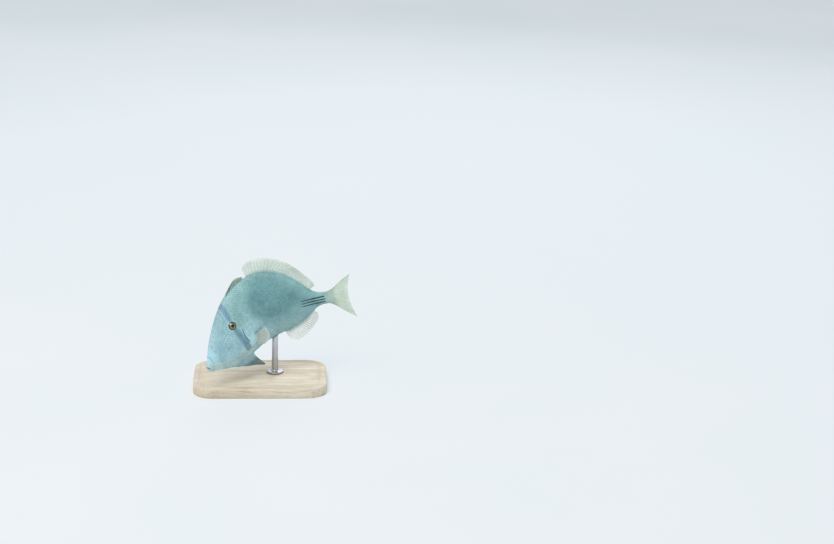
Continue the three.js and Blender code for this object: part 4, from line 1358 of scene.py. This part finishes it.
# Floor, light and camera.
FLOOR_HALF = 6.0
IMAGE_WIDTH, IMAGE_HEIGHT = 834, 544
ORIGIN_PIXEL = (260.2, 383.6)
PIXELS_PER_MM = 0.832
CAMERA_ELEVATION = math.radians(19)
LENS, SENSOR = 85.0, 36.0


def floor():
    corners = [[-1, -1, 0], [1, -1, 0], [1, 1, 0], [-1, 1, 0]]
    mesh = bpy.data.meshes.new("floor")
    mesh.from_pydata((FLOOR_HALF * np.array(corners)).tolist(), [], [[0, 1, 2, 3]])
    made = bpy.data.objects.new("floor", mesh)
    bpy.context.scene.collection.objects.link(made)
    made.data.materials.append(MATERIALS["floor"])


def area_light(name, place, target, width, power, tint):
    lamp = bpy.data.lights.new(name, "AREA")
    lamp.shape, lamp.size, lamp.energy, lamp.color = "DISK", width, power, tint
    made = bpy.data.objects.new(name, lamp)
    made.location = place
    made.rotation_mode = "QUATERNION"
    made.rotation_quaternion = (Vector(target) - Vector(place)).to_track_quat("-Z", "Y")
    bpy.context.scene.collection.objects.link(made)


def lights():
    world = bpy.data.worlds.new("studio")
    world.use_nodes = True
    background = world.node_tree.nodes["Background"].inputs
    background["Color"].default_value = (0.91, 0.965, 1.0, 1.0)
    background["Strength"].default_value = 0.86
    bpy.context.scene.world = world
    area_light("key", (-0.7, -0.9, 1.7), (0, 0, 0.08), 1.2, 25, (1.0, 0.99, 0.97))
    area_light("rear", (0.4, 1.5, 1.3), (0, 0, 0.1), 0.9, 11, (0.93, 0.98, 1.0))


def camera():
    """The photo's view: the model's middle is seen from CAMERA_ELEVATION, straight along +Y, and the camera
    is then turned the shortest way until the model's origin lies on its pixel."""
    lens = bpy.data.cameras.new("camera")
    lens.lens, lens.sensor_width, lens.sensor_fit = LENS, SENSOR, "HORIZONTAL"
    lens.clip_start, lens.clip_end = 0.1, 50
    made = bpy.data.objects.new("camera", lens)
    bpy.context.scene.collection.objects.link(made)
    middle = Vector(np.array([list(corner) for corner in solid_box]).mean(axis=0))
    metres_per_pixel = MM / PIXELS_PER_MM
    distance = IMAGE_WIDTH * metres_per_pixel * LENS / SENSOR
    ahead = Vector((0, math.cos(CAMERA_ELEVATION), -math.sin(CAMERA_ELEVATION)))
    right = Vector((1, 0, 0))
    up = right.cross(ahead)
    seen_right = ORIGIN_PIXEL[0] + middle.dot(right) / metres_per_pixel
    seen_down = ORIGIN_PIXEL[1] - middle.dot(up) / metres_per_pixel
    aim = ahead * distance
    aim += right * (IMAGE_WIDTH / 2 - seen_right) * metres_per_pixel
    aim += up * (seen_down - IMAGE_HEIGHT / 2) * metres_per_pixel
    straight = Matrix((right, up, -ahead)).transposed().to_quaternion()
    made.location = middle - ahead * distance
    made.rotation_mode = "QUATERNION"
    made.rotation_quaternion = ahead.rotation_difference(aim) @ straight
    bpy.context.scene.camera = made


floor()
lights()
camera()
bpy.context.scene.view_settings.view_transform = "Khronos PBR Neutral"
